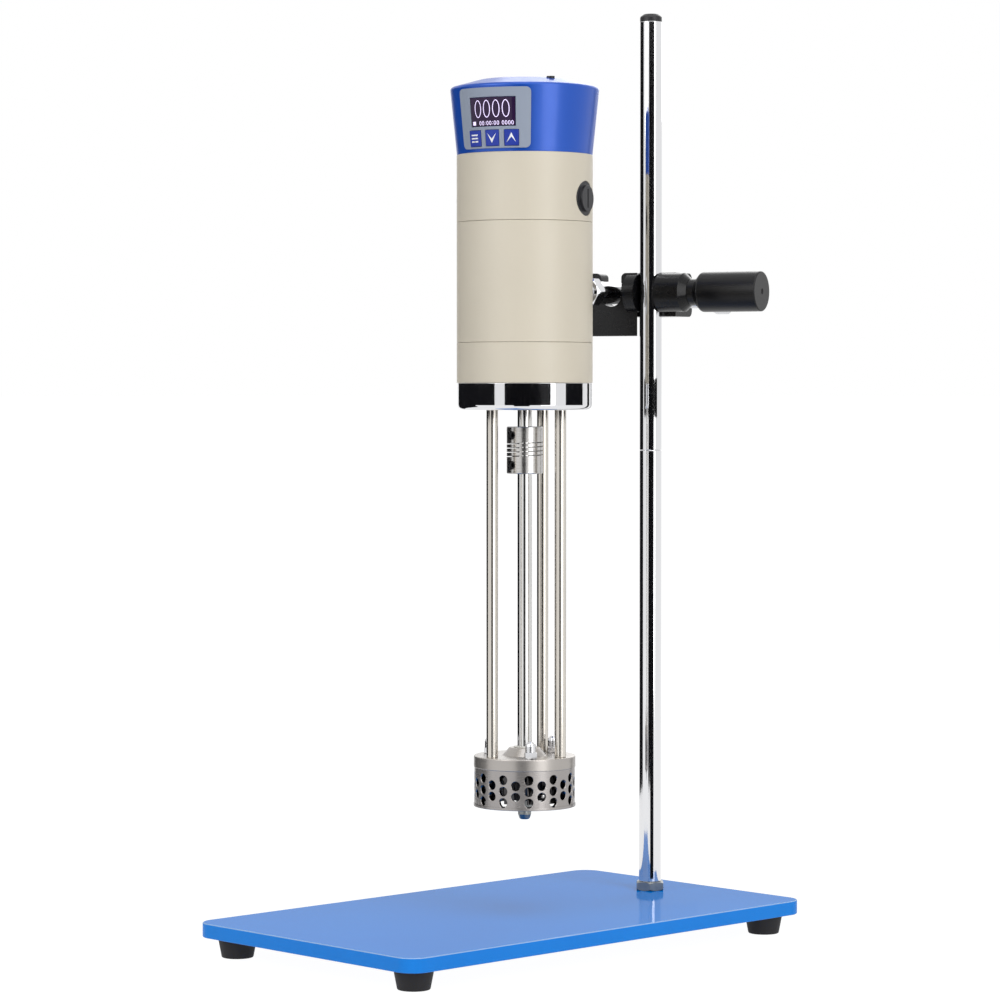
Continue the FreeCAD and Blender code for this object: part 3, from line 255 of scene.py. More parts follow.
BY_MOTOR, BY_COLUMN, BETWEEN = (0.024, -0.018), (0.145, 0.0), (0.06, -0.01)
FULL_HEIGHT, COLUMN_HEIGHT, RING_HEIGHT = (0.002, 1.5), (0.0255, 0.7), (0.366, 0.396)
dark_card(0, -150, -88, 0.8, BETWEEN, FULL_HEIGHT)
dark_card(1, -20, 5, 0.8, BETWEEN, FULL_HEIGHT)
dark_card(2, 0, 32, 0.06, BY_COLUMN, COLUMN_HEIGHT)
for number, (start, end) in enumerate(((-92, -46), (-32, 33), (60, 104)), 3):
    dark_card(number, start, end, 0.2, BY_MOTOR, RING_HEIGHT)

# Base plate: 10 mm steel, 380 by 220 mm with rounded corners, in glossy blue stove enamel.
# The rounded top edge is painted pale blue, a painted highlight of the white light on the bevel.
MM = 0.001
HALF_LONG, HALF_WIDE, CORNER = 190.0, 110.0, 14.0
PLATE_LOW, PLATE_TOP = 14.0, 24.0


def worked_in(mesh, *changes):
    """The mesh with modifiers worked in; each change is a modifier's type and its settings."""
    carrier = linked("carrier", mesh)
    for kind, settings in changes:
        modifier = carrier.modifiers.new(kind.lower(), kind)
        for field, value in settings.items():
            if field.startswith("Socket_"):
                modifier[field] = value
            else:
                setattr(modifier, field, value)
    bpy.context.view_layer.update()
    worked = carrier.evaluated_get(bpy.context.evaluated_depsgraph_get())
    made = bpy.data.meshes.new_from_object(worked)
    bpy.data.objects.remove(carrier)
    return made


def smooth(mesh, angle=35):
    """Smooth but for sharp edges, with each long face kept true beside a narrow bevel."""
    mesh.shade_smooth()
    mesh.set_sharp_from_angle(angle=math.radians(angle))
    return worked_in(mesh, ("WEIGHTED_NORMAL", {"keep_sharp": True, "weight": 80}))


def mesh_of(name, points, faces):
    """A mesh with its faces turned outwards and its edges smooth up to 35 degrees."""
    mesh = bpy.data.meshes.new(name)
    mesh.from_pydata([tuple(point) for point in points], [], faces)
    work = bmesh.new()
    work.from_mesh(mesh)
    bmesh.ops.remove_doubles(work, verts=work.verts, dist=1e-5)
    bmesh.ops.recalc_face_normals(work, faces=work.faces)
    work.to_mesh(mesh)
    work.free()
    return smooth(mesh)


def fitted(name, mesh, finish, body, slot, *nodes):
    """The finished piece, in metres: it rides on its body and stands for its CAD nodes."""
    mesh.transform(Matrix.Scale(MM, 4))
    mesh.materials.clear()
    mesh.materials.append(finish.material)
    piece = linked(name, mesh)
    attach(piece, body)
    if nodes:
        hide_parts(*nodes)
    return piece


def plate_ring(inset, height):
    """The plate's outline at one height, drawn in from its full size."""
    steps = 12
    ring = []
    for quarter, (side_x, side_y) in enumerate(((1, 1), (-1, 1), (-1, -1), (1, -1))):
        for step in range(steps + 1):
            turn = math.radians(quarter * 90 + step * 90 / steps)
            ring.append(((HALF_LONG - CORNER) * side_x + (CORNER - inset) * math.cos(turn),
                         (HALF_WIDE - CORNER) * side_y + (CORNER - inset) * math.sin(turn),
                         height))
    return ring


RIM = 0.9
rings = [plate_ring(0.5, PLATE_LOW), plate_ring(0, PLATE_LOW + 0.5)]
for step in range(7):
    turn = math.radians(step * 15)
    rings.append(plate_ring(RIM - RIM * math.cos(turn), PLATE_TOP - RIM + RIM * math.sin(turn)))
count = len(rings[0])
points = [point for ring in rings for point in ring]
faces = [(low * count + step, low * count + (step + 1) % count,
          (low + 1) * count + (step + 1) % count, (low + 1) * count + step)
         for low in range(len(rings) - 1) for step in range(count)]
faces += [tuple(range(count)), tuple((len(rings) - 1) * count + step for step in range(count))]

enamel = Finish("plate_enamel", roughness=0.3, coat_weight=0.42, coat_roughness=0.06,
                specular_ior_level=0.0)
facing = enamel.node("SeparateXYZ", {}, {0: enamel.node("NewGeometry", {}, {}, "Normal")}, "Z")
# Painted highlight: faces of the rounded top edge take a pale blue that stands in for the bevel's
# reflection.
painted_rim_highlight = enamel.step(facing, 0.18, 0.5) * (1 - enamel.step(facing, 0.93, 0.995))
clouds = enamel.grain(9, detail=2)
flat_blue = enamel.blend(clouds, shade(2, 128, 228), shade(10, 138, 236))
enamel.feed("Base Color", enamel.blend(painted_rim_highlight * 0.75, flat_blue, shade(175, 208, 240)))
enamel.feed("Roughness", enamel.grain(260) * 0.2 + 0.25)
enamel.relief(enamel.grain(330, detail=2), 0.00012, 0.35)
fitted("enamelled_plate", mesh_of("enamelled_plate", points, faces), enamel, "stand",
       "plate_enamel", "base_plate")


# Rubber feet: four tapered black feet, moulded in one and screwed up into the plate.
# They are powdery on the sides and polished by the bench underneath.
def rounded(corners, steps=6):
    """A section's corners, (radius, height) in mm; a third number rounds that corner."""
    made = []
    for index, corner in enumerate(corners):
        here = Vector(corner[:2])
        if len(corner) < 3:
            made.append(here)
            continue
        before = (Vector(corners[index - 1][:2]) - here).normalized()
        after = (Vector(corners[(index + 1) % len(corners)][:2]) - here).normalized()
        half = before.angle(after) / 2
        centre = here + (before + after).normalized() * corner[2] / math.sin(half)
        start = here + before * corner[2] / math.tan(half) - centre
        end = here + after * corner[2] / math.tan(half) - centre
        first = math.atan2(start.y, start.x)
        swing = (math.atan2(end.y, end.x) - first + math.pi) % (2 * math.pi) - math.pi
        for step in range(steps + 1):
            turn = first + swing * step / steps
            made.append(centre + Vector((math.cos(turn), math.sin(turn))) * corner[2])
    return made


def turned(name, corners, place=Matrix(), steps=128):
    """A piece turned on a lathe from its section, then put in its place."""
    section = rounded(corners)
    points, rows = [], []
    for corner in section:
        if corner.x < 1e-4:
            rows.append([len(points)] * steps)
            points.append((0, 0, corner.y))
            continue
        rows.append(list(range(len(points), len(points) + steps)))
        turns = [2 * math.pi * step / steps for step in range(steps)]
        points += [(corner.x * math.cos(turn), corner.x * math.sin(turn), corner.y)
                   for turn in turns]
    pairs = list(zip(rows, rows[1:] + rows[:1]))
    if section[0].x < 1e-4 and section[-1].x < 1e-4:
        pairs.pop()
    faces = []
    for low, high in pairs:
        for step in range(steps):
            after = (step + 1) % steps
            face = [low[step], low[after], high[after], high[step]]
            face = [corner for at, corner in enumerate(face) if corner != face[at - 1]]
            if len(face) > 2:
                faces.append(tuple(face))
    mesh = mesh_of(name, points, faces)
    mesh.transform(place)
    return mesh


def pattern_tree(name, sizes):
    """A geometry tree with the piece to repeat, its named sizes and its finish as inputs."""
    tree = bpy.data.node_groups.new(name, "GeometryNodeTree")
    tree.interface.new_socket("Piece", in_out="INPUT", socket_type="NodeSocketGeometry")
    for label, kind in sizes:
        tree.interface.new_socket(label, in_out="INPUT", socket_type="NodeSocket" + kind)
    tree.interface.new_socket("Finish", in_out="INPUT", socket_type="NodeSocketMaterial")
    tree.interface.new_socket("Pieces", in_out="OUTPUT", socket_type="NodeSocketGeometry")
    return tree


def tree_node(tree, kind, inputs):
    """A new node of a geometry tree, with its inputs linked or set."""
    made = tree.nodes.new(kind)
    for field, value in inputs.items():
        if isinstance(value, bpy.types.NodeSocket):
            tree.links.new(value, made.inputs[field])
        else:
            made.inputs[field].default_value = value
    return made


def pattern_closed(tree, points, turn, asked):
    """Stand the piece on each point, make the copies real and give them their finish."""
    copies = tree_node(tree, "GeometryNodeInstanceOnPoints", {
        "Points": points, "Instance": asked["Piece"], "Rotation": turn})
    real = tree_node(tree, "GeometryNodeRealizeInstances", {0: copies.outputs[0]})
    painted = tree_node(tree, "GeometryNodeSetMaterial", {
        "Geometry": real.outputs[0], "Material": asked["Finish"]})
    tree_node(tree, "NodeGroupOutput", {0: painted.outputs[0]})
    return tree


def repeated(mesh, tree, finish, **sizes):
    """The mesh repeated by a tree, with its inputs set by their identifiers."""
    wanted = {label.replace("_", " ").capitalize(): value for label, value in sizes.items()}
    wanted["Finish"] = finish.material
    settings = {"node_group": tree}
    for item in tree.interface.items_tree:
        if item.name in wanted:
            settings[item.identifier] = wanted[item.name]
    return worked_in(mesh, ("NODES", settings))


corner_tree = pattern_tree("pieces_at_corners", [("Length", "Float"), ("Width", "Float")])
asked = corner_tree.nodes.new("NodeGroupInput").outputs
grid = tree_node(corner_tree, "GeometryNodeMeshGrid", {
    "Size X": asked["Length"], "Size Y": asked["Width"], "Vertices X": 2, "Vertices Y": 2})
pattern_closed(corner_tree, grid.outputs["Mesh"], (0, 0, 0), asked)


def mottled(name, scale, dark, light, smoothest, spread, relief=None, stretch=(1, 1, 1),
            detail=3, **constants):
    """A finish whose colour and roughness follow one noise.

    The relief is a scale, a depth and a strength; at the noise's own scale it is that noise.
    """
    finish = Finish(name, **constants)
    cloud = finish.grain(scale, stretch, detail)
    finish.feed("Base Color", finish.blend(cloud, shade(*dark), shade(*light)))
    finish.feed("Roughness", cloud * spread + smoothest)
    if relief:
        bumps = cloud if relief[0] == scale else finish.grain(relief[0])
        finish.relief(bumps, *relief[1:])
    return finish


rubber = mottled("foot_rubber", 120, (18, 17, 19), (38, 37, 40), 0.5, 0.3,
                 specular_ior_level=0.35)
rubber.relief(rubber.grain(900, detail=2), 0.0001, 0.5)
foot = turned("rubber_foot", [
    (5.5, 0), (10.8, 0, 0.9), (13.5, 14), (2.1, 14), (2.1, 5), (5.5, 5)], steps=64)
FOOT_INSET = 21.0
feet = repeated(foot, corner_tree, rubber, length=2 * (HALF_LONG - FOOT_INSET),
                width=2 * (HALF_WIDE - FOOT_INSET))
fitted("tapered_feet", smooth(feet), rubber, "stand", "foot_rubber", "rubber_feet")

plated = mottled("fastener_steel", 60, (196, 197, 200), (222, 222, 224), 0.14, 0.14,
                 relief=(1500, 0.00003, 0.3), metallic=1.0)


def coat(finish, *nodes):
    """Give CAD nodes that stay as they are a finish."""
    for name in nodes:
        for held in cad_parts[name].material_slots:
            held.material = finish.material
        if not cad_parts[name].material_slots:
            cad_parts[name].data.materials.append(finish.material)


coat(plated, "foot_screws")

# Column: two 16 mm chromed rods screwed end to end over a hidden stud, with a fine bevelled
# joint between them, jammed on the plate by a hexagon nut and closed by a black domed plug.
COLUMN_X = 145.0
COLUMN = Matrix.Translation((COLUMN_X, 0, 0))


def carved(mesh, *cuts):
    """The mesh after exact booleans; each cut is an operation and the mesh that it takes."""
    changes, tools = [], []
    for operation, shape in cuts:
        tools.append(linked("tool", shape))
        changes.append(("BOOLEAN", {
            "operation": operation, "solver": "EXACT", "object": tools[-1]}))
    made = worked_in(mesh, *changes)
    for tool in tools:
        bpy.data.objects.remove(tool)
    return made


def hexagonal(name, across, low, high, bevel, place=Matrix(), bore=None):
    """A hexagon bar with its corners turned off at both ends; across is over the flats."""
    reach = across / math.sqrt(3)
    bar = turned(name, [(0, low), (reach, low), (reach, high), (0, high)], steps=6)
    cuts = [("INTERSECT", turned(name + "_trim", [
        (0, low), (across / 2 - bevel * 0.2, low), (reach + 0.01, low + bevel),
        (reach + 0.01, high - bevel), (across / 2 - bevel * 0.2, high), (0, high)], steps=96))]
    if bore:
        cuts.append(("DIFFERENCE", turned(name + "_bore", [
            (0, low - 1), (bore, low - 1), (bore, high + 1), (0, high + 1)], steps=64)))
    mesh = smooth(carved(bar, *cuts), 20)
    mesh.transform(place)
    return mesh


jam_nut = hexagonal("jam_nut", 19, PLATE_TOP, 30.5, 1.2,
                    COLUMN @ Matrix.Rotation(math.radians(46), 4, "Z"), 6.1)
nut_steel = mottled("nut_steel", 110, (120, 124, 126), (150, 152, 150), 0.22, 0.2,
                    relief=(900, 0.00004, 0.4), metallic=1.0)
fitted("jam_nut", jam_nut, nut_steel, "stand", "fastener_steel", "column_nut")

chrome = mottled("rod_chrome", 14, (214, 215, 218), (230, 230, 231), 0.035, 0.05,
                 stretch=(1, 1, 0.25), detail=2, metallic=1.0)
lower_rod = turned("lower_column", [
    (6, PLATE_TOP), (6, 30.55), (8, 30.55, 0.4), (8, 343.4, 0.55), (5, 343.4), (5, PLATE_TOP)],
    COLUMN)
fitted("lower_column", lower_rod, chrome, "column", "rod_chrome", "lower_rod")
upper_rod = turned("upper_column", [
    (5, 343.45), (8, 343.45, 0.55), (8, 652, 0.3), (5, 652)], COLUMN)
fitted("upper_column", upper_rod, chrome, "column", "rod_chrome", "upper_rod")

black_moulding = mottled("cap_plastic", 500, (24, 24, 26), (36, 36, 38), 0.3, 0.2,
                         relief=(1400, 0.00004, 0.4), specular_ior_level=0.4)
plug = turned("column_plug", [
    (0, 652), (7.9, 652, 0.3), (7.9, 655.5, 1.6), (5, 657.6, 2.5), (0, 658)], COLUMN, 96)
fitted("column_plug", plug, black_moulding, "column", "cap_plastic", "column_cap")

turned_steel = mottled("screw_steel", 40, (150, 150, 150), (186, 185, 184), 0.25, 0.2,
                       relief=(40, 0.00004, 0.3), stretch=(1, 1, 30), metallic=1.0)
coat(turned_steel, "joint_stud")

# Clamp: a black enamelled casting. Its barrel grips the column in an open slot, and the block
# beside it carries the arm in a deep notch with rounded ears.
SWIVEL = math.radians(19)
ARM_HEIGHT = 457.0
CLAMP = Matrix.Translation((COLUMN_X, 0, ARM_HEIGHT)) @ Matrix.Rotation(SWIVEL, 4, "Z")


def bevelled(node, width, angle=40):
    """A merged copy of a CAD node, in millimetres, with its sharp edges eased."""
    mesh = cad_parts[node].data.copy()
    mesh.transform(Matrix.Scale(1000, 4))
    work = bmesh.new()
    work.from_mesh(mesh)
    bmesh.ops.remove_doubles(work, verts=work.verts, dist=2e-3)
    bmesh.ops.dissolve_degenerate(work, edges=work.edges, dist=1e-4)
    if width:
        flat = [edge for edge in work.edges
                if edge.is_manifold and edge.calc_face_angle() < math.radians(0.5)]
        bmesh.ops.dissolve_edges(work, edges=flat, use_verts=True, use_face_split=False)
    work.to_mesh(mesh)
    work.free()
    if width:
        mesh = worked_in(mesh, ("BEVEL", {
            "width": width, "segments": 2, "limit_method": "ANGLE",
            "angle_limit": math.radians(angle), "use_clamp_overlap": True}))
    return smooth(mesh, angle)


casting = mottled("clamp_enamel", 70, (9, 9, 11), (15, 15, 17), 0.2, 0.14,
                  relief=(420, 0.00012, 0.4), specular_ior_level=0.24)
fitted("clamp_casting", bevelled("clamp_body", 0.5), casting, "clamp", "clamp_enamel", "clamp_body")

# Column lock: a brass pad and a steel screw, moulded into a long satin black hand grip with a
# waist, a rounded end and a moulding dimple.
brass = mottled("pad_brass", 150, (176, 140, 70), (206, 172, 98), 0.25, 0.2, metallic=1.0)
coat(brass, "column_pad", "arm_shoe", "brush_holders")
coat(turned_steel, "column_lock_screw")

ALONG_Y = Matrix.Rotation(math.radians(90), 4, "X")
GRIP_AXIS = CLAMP @ ALONG_Y
grip_black = mottled("grip_plastic", 35, (8, 8, 11), (14, 14, 17), 0.27, 0.12,
                     relief=(900, 0.00006, 0.4), specular_ior_level=0.3)
grip = turned("hand_grip", [
    (5.95, 32.1), (9.5, 32.1, 0.4), (9.5, 37, 0.8), (14.35, 41.5, 2.6), (14.35, 87, 0.9),
    (2.4, 87, 0.3), (1.2, 86.2, 0.3), (0, 86.2), (0, 78), (5.95, 78)], GRIP_AXIS)
fitted("hand_grip", grip, grip_black, "column_lock", "grip_plastic", "column_lock_grip")

# Arm lock: a chromed thumb screw beside the hand grip that pushes a brass shoe against the arm.
# Its broad head has a conical neck and eased edges.
THUMB_AXIS = CLAMP @ Matrix.Translation((22, 0, -7)) @ ALONG_Y
thumb = turned("thumb_screw", [
    (0, -18.3), (4, -18.3, 0.3), (4, 37), (5.5, 37, 0.3), (8.5, 43, 1.0), (8.5, 52, 1.1), (0, 52)],
    THUMB_AXIS, 96)
fitted("thumb_screw", thumb, plated, "arm_lock", "fastener_steel", "arm_lock_screw")

# Arm: a chromed rod that lies in the notch, 16 mm thick like the column, with a hexagonal
# collar in front of the clamp.
ALONG_X = Matrix.Rotation(math.radians(90), 4, "Y")
ARM_AXIS = CLAMP @ Matrix.Translation((0, 30, 0)) @ ALONG_X
ARM_NEAR, ARM_FAR = -98.0, 60.0
arm = turned("cross_arm", [(0, ARM_NEAR), (8, ARM_NEAR, 0.6), (8, ARM_FAR, 0.7), (0, ARM_FAR)],
             ARM_AXIS)
fitted("cross_arm", arm, chrome, "arm", "rod_chrome", "arm_rod")
collar = hexagonal("arm_hexagon", 19, -46, -34, 1.4,
                   ARM_AXIS @ Matrix.Rotation(math.radians(30), 4, "Z"), 8.01)
fitted("arm_hexagon", collar, chrome, "arm", "rod_chrome", "arm_collar")

# End bell: a chromed ring under the housing that holds the lower bearing and the three guide
# rods. Its lower edge is rounded and polished.
MOTOR_X, MOTOR_Y = 0.024, -18.191
MOTOR = Matrix.Translation((MOTOR_X, MOTOR_Y, 0)) @ Matrix.Rotation(SWIVEL, 4, "Z")
bell = turned("end_bell", [
    (6.5, 373), (46.5, 373, 3.5), (46.5, 391.5, 0.3), (43.9, 391.5), (43.9, 381), (17, 381),
    (17, 387.5), (13, 387.5), (13, 379), (6.5, 379)], MOTOR, 192)
fitted("end_bell", bell, chrome, "motor_unit", "rod_chrome", "end_ring")

# Housing: three aluminium barrels in satin beige enamel, slid into each other, with a fine
# groove at each seam and a round seat for a brush cap on either side of the upper one.
beige = Finish("housing_enamel", specular_ior_level=0.35, coat_weight=0.12, coat_roughness=0.3)
patchy = beige.grain(16, detail=2)
beige.feed("Base Color", beige.blend(patchy, shade(209, 201, 184), shade(216, 208, 191)))
beige.feed("Roughness", beige.grain(90) * 0.14 + 0.33)
beige.relief(beige.grain(520, detail=2), 0.0001, 0.3)


def barrel(name, low, high):
    """One barrel of the housing, between two heights, with eased edges that make the seams."""
    return turned(name, [(44.3, low), (46.9, low, 0.35), (46.9, high, 0.35), (44.3, high)],
                  MOTOR, 192)


fitted("lower_barrel", barrel("lower_barrel", 391.65, 419.2), beige, "motor_unit",
       "housing_enamel", "housing_lower")
fitted("middle_barrel", barrel("middle_barrel", 419.4, 501.8), beige, "motor_unit",
       "housing_enamel", "housing_middle")
BRUSH_HEIGHT = 517.6
brush_seats = turned("brush_seats", [(0, -60), (12, -60), (12, 60), (0, 60)],
                     MOTOR @ Matrix.Translation((0, 0, BRUSH_HEIGHT)) @ ALONG_Y)
upper_barrel = carved(barrel("upper_barrel", 502.0, 548.2), ("DIFFERENCE", brush_seats))
fitted("upper_barrel", smooth(upper_barrel, 30), beige, "motor_unit", "housing_enamel",
       "housing_upper")

brush_cap_black = mottled("brush_cap_plastic", 260, (26, 26, 30), (40, 40, 44), 0.3, 0.16,
                          relief=(1200, 0.00004, 0.4), specular_ior_level=0.4)
fitted("slotted_caps", bevelled("brush_caps", 0.3), brush_cap_black, "motor_unit",
       "brush_cap_plastic", "brush_caps")

# Head: a glossy blue moulding that flares outwards to a soft rim and closes in a low dome with
# a flat middle. Two small black screws hold it down.
blue = Finish("head_plastic", metallic=0.2, coat_weight=0.12, coat_roughness=0.12)
flow = blue.grain(12, detail=2)
blue.feed("Base Color", blue.blend(flow, shade(6, 74, 178), shade(12, 82, 188)))
blue.feed("Roughness", blue.grain(140) * 0.12 + 0.26)
blue.relief(blue.grain(700, detail=2), 0.00006, 0.25)
dome = turned("flared_head", [
    (44.1, 548.25), (46.7, 548.25, 0.3), (51.4, 594.2, 2.0), (31, 599.8, 14), (0, 599.8),
    (0, 597.2), (31, 597.2), (48.8, 591.6)], MOTOR, 192)
fitted("flared_head", dome, blue, "motor_unit", "head_plastic", "head_cover")
oxide = mottled("set_screw_black", 400, (28, 28, 30), (52, 52, 55), 0.3, 0.2, metallic=0.6)
fitted("dome_screws", bevelled("head_screws", 0.25), oxide, "motor_unit", "set_screw_black",
       "head_screws")


# Panel: a grey textured film on a plate bent round the head, with a smoked display window that
# shows zeros in fine lit lines, and three blue keys with white signs.
def flare(height):
    """The radius of the head's outside at a height, in mm."""
    (low_radius, low), (high_radius, high) = (46.7, 548.2), (51.4, 594.2)
    return low_radius + (height - low) * (high_radius - low_radius) / (high - low)


film = Finish("panel_film", specular_ior_level=0.3)
weave = film.grain(1300, detail=1)
tint = film.grain(18, detail=1)
film.feed("Base Color", film.blend(tint, shade(140, 150, 168), shade(154, 163, 178)))
film.feed("Roughness", weave * 0.2 + 0.4)
film.relief(weave, 0.00008, 0.5)
fitted("front_panel", bevelled("control_panel", 0.3), film, "motor_unit", "panel_film",
       "control_panel")
smoked = mottled("display_film", 25, (38, 20, 54), (50, 28, 66), 0.1, 0.06, detail=1,
                 specular_ior_level=0.25, coat_weight=0.05, coat_roughness=0.04)
fitted("smoked_window", bevelled("display_window", 0.15), smoked, "motor_unit", "display_film",
       "display_window")
key_blue = mottled("key_film", 300, (26, 50, 150), (34, 60, 166), 0.34, 0.16,
                   relief=(1100, 0.00005, 0.4), specular_ior_level=0.35)


def on_cone(name, strips, out, turn):
    """Flat strips of (across, height) points in mm, laid on the flared face and made solid."""
    points, faces = [], []
    for strip in strips:
        first = len(points)
        for lift in (0.0, 0.06):
            for across, height in strip:
                radius = flare(height) + out + lift
                angle = math.radians(180 + turn) + across / radius
                points.append((radius * math.cos(angle), radius * math.sin(angle), height))
        size = len(strip)
        half = size // 2
        for step in range(half - 1):
            for side in (0, size):
                faces.append((first + side + step, first + side + step + 1,
                              first + side + size - 2 - step, first + side + size - 1 - step))
        for step in range(size):
            after = (step + 1) % size
            faces.append((first + step, first + after, first + size + after, first + size + step))
    mesh = mesh_of(name, points, faces)
    mesh.transform(MOTOR)
    return mesh


def zero(across, height, wide, tall, line):
    """A zero as short strips round an oval, each a closed four-cornered piece."""
    steps = 28
    strips = []
    for step in range(steps):
        ends = [2 * math.pi * (step + part) / steps for part in (0, 1)]
        outer = [(across + wide / 2 * math.cos(end), height + tall / 2 * math.sin(end))
                 for end in ends]
        inner = [(across + (wide / 2 - line) * math.cos(end),
                  height + (tall / 2 - line) * math.sin(end)) for end in reversed(ends)]
        strips.append(outer + inner)
    return strips


def block(across, height, wide, tall):
    """A rectangle round its middle, as one strip."""
    return [(across - wide / 2, height - tall / 2), (across + wide / 2, height - tall / 2),
            (across + wide / 2, height + tall / 2), (across - wide / 2, height + tall / 2)]


lit = Finish("lit_figures", roughness=0.4, emission_color=shade(218, 204, 242),
             emission_strength=0.75)
lit.feed("Base Color", lit.blend(lit.grain(200), shade(216, 200, 244), shade(232, 220, 250)))
UPPER_LINE, LOWER_LINE = 576.9, 567.3
figures = []
for place in range(4):
    figures += zero(-10.7 + place * 7.1, UPPER_LINE, 5.4, 11.8, 0.52)
for across in (-9.0, -6.8, -3.3, -1.1, 2.4, 4.6, 8.3, 10.5, 12.7, 14.9):
    figures += zero(across, LOWER_LINE, 1.7, 2.9, 0.38)
for across in (-5.05, 0.65):
    figures += [block(across, LOWER_LINE + lift, 0.4, 0.4) for lift in (-0.7, 0.7)]
figures.append(block(-14.2, LOWER_LINE, 2.5, 2.5))
fitted("lit_figures", on_cone("lit_figures", figures, 1.1, 0), lit, "motor_unit", "display_film")

ink = Finish("white_ink", specular_ior_level=0.3)
ink.feed("Base Color", ink.blend(ink.grain(400), shade(236, 238, 242), shade(248, 249, 250)))
ink.feed("Roughness", ink.grain(300) * 0.1 + 0.4)
KEY_MIDDLE = 557.2
chevron = [[(-3.3, 3.2), (0, -3.4), (0, -0.6), (0, -0.6)],
           [(3.3, 3.2), (0, -0.6), (0, -3.4), (0, -3.4)]]
signs = {
    "down": [[(x, KEY_MIDDLE + y) for x, y in half] for half in chevron],
    "up": [[(x, KEY_MIDDLE - y) for x, y in half] for half in chevron],
    "menu": [block(across, KEY_MIDDLE + lift, 0.94, 0.95) for lift in (-2.2, 0, 2.2)
             for across in (-2.35, -1.41, -0.47, 0.47, 1.41, 2.35)],
}
KEY_TURN = 16.2
for key, turn in (("down", 0), ("up", KEY_TURN), ("menu", -KEY_TURN)):
    node = "key_" + key
    fitted("blue_" + node, bevelled(node, 0.2), key_blue, key + "_key", "key_film", node)
    fitted("sign_" + key, on_cone("sign_" + key, signs[key], 2.1, turn), ink, key + "_key",
           "key_film")

# Sockets at the back: a machined aluminium boss that takes the arm, and the black gland of the
# mains lead above it.
aluminium = mottled("boss_aluminium", 30, (196, 197, 199), (214, 214, 216), 0.25, 0.2,
                    relief=(30, 0.00004, 0.3), stretch=(8, 8, 1), metallic=1.0)
SOCKET_AXIS = MOTOR @ Matrix.Translation((0, 0, ARM_HEIGHT)) @ ALONG_X
boss = turned("arm_boss", [
    (8.05, 44.4), (14, 44.4), (14, 62, 1.2), (8.05, 62, 0.4)], SOCKET_AXIS, 96)
fitted("arm_boss", boss, aluminium, "motor_unit", "boss_aluminium", "arm_socket")
GLAND_HEIGHT = 514.0
GLAND_AXIS = MOTOR @ Matrix.Translation((0, 0, GLAND_HEIGHT)) @ ALONG_X
gland_black = mottled("gland_plastic", 350, (24, 24, 26), (38, 38, 40), 0.35, 0.2,
                      relief=(350, 0.00006, 0.4), specular_ior_level=0.4)
gland = turned("lead_gland", [
    (3.6, 40.9), (8, 40.9), (8, 47.5), (10.5, 47.5, 0.4), (10.5, 50.5, 0.6), (8.4, 51.4, 0.4),
    (7, 60, 1.2), (3.6, 60, 0.5)], GLAND_AXIS, 96)
fitted("lead_gland", gland, gland_black, "motor_unit", "gland_plastic", "cable_gland")

# Inside of the head and motor: boards, posts, ball races, wound core, armature, commutator,
# brushes and fan. They stay as the plain solids and only take their finishes.
laminate = Finish("board_laminate", roughness=0.45)
tracks = laminate.grain(220, (1, 3, 1))
laminate.feed("Base Color", laminate.blend(
    laminate.step(tracks, 0.48, 0.52), shade(20, 92, 48), shade(40, 122, 66)))
coat(laminate, "key_board", "control_board")
coat(black_moulding, "board_posts")
race = mottled("bearing_steel", 50, (180, 181, 184), (204, 205, 207), 0.18, 0.15,
               stretch=(1, 1, 20), metallic=1.0)
coat(race, "lower_bearing", "upper_bearing")
cast_grey = mottled("carrier_aluminium", 240, (168, 169, 171), (190, 190, 192), 0.4, 0.25,
                    relief=(240, 0.0001, 0.5), metallic=1.0)
coat(cast_grey, "upper_bearing_plate")
core = Finish("core_steel", metallic=0.9)
leaves = core.node("TexWave", {"wave_type": "BANDS", "bands_direction": "Z"}, {
    "Vector": core.place(), "Scale": 320.0, "Distortion": 0.0})
core.feed("Base Color", core.blend(leaves, shade(104, 105, 110), shade(138, 139, 144)))
core.feed("Roughness", core.grain(90) * 0.2 + 0.4)
coat(core, "field_core", "armature")
copper = Finish("winding_copper", metallic=0.9, coat_weight=0.5)
turns = copper.node("TexWave", {"wave_type": "BANDS", "bands_direction": "Z"}, {
    "Vector": copper.place(), "Scale": 260.0, "Distortion": 2.0})
copper.feed("Base Color", copper.blend(turns, shade(150, 74, 36), shade(204, 122, 74)))
copper.feed("Roughness", turns * 0.2 + 0.25)
coat(copper, "field_windings", "commutator")
fan_black = mottled("fan_plastic", 200, (34, 34, 36), (48, 48, 50), 0.4, 0.2,
                    specular_ior_level=0.4)
coat(fan_black, "cooling_fan")
carbon = mottled("brush_carbon", 900, (30, 30, 31), (56, 56, 58), 0.6, 0.2, specular_ior_level=0.3)
coat(carbon, "carbon_brushes")

# Shafts: 10 mm ground stainless steel. The motor's own shaft ends in the coupling, and the long
# working shaft runs from there through the head to the rotor.
ground = mottled("shaft_steel", 25, (206, 205, 204), (222, 221, 219), 0.07, 0.06,
                 stretch=(1, 1, 0.4), detail=2, metallic=1.0)
spindle = turned("motor_spindle", [(0, 357), (5, 357, 0.5), (5, 541.5, 0.3), (0, 541.5)], MOTOR, 96)
fitted("motor_spindle", spindle, ground, "drive", "shaft_steel", "motor_shaft")
work_shaft = turned("working_shaft", [
    (0, 97), (3, 97), (3, 122), (5, 122), (5, 355, 0.5), (0, 355)], MOTOR, 96)
fitted("working_shaft", work_shaft, ground, "drive", "shaft_steel", "drive_shaft")

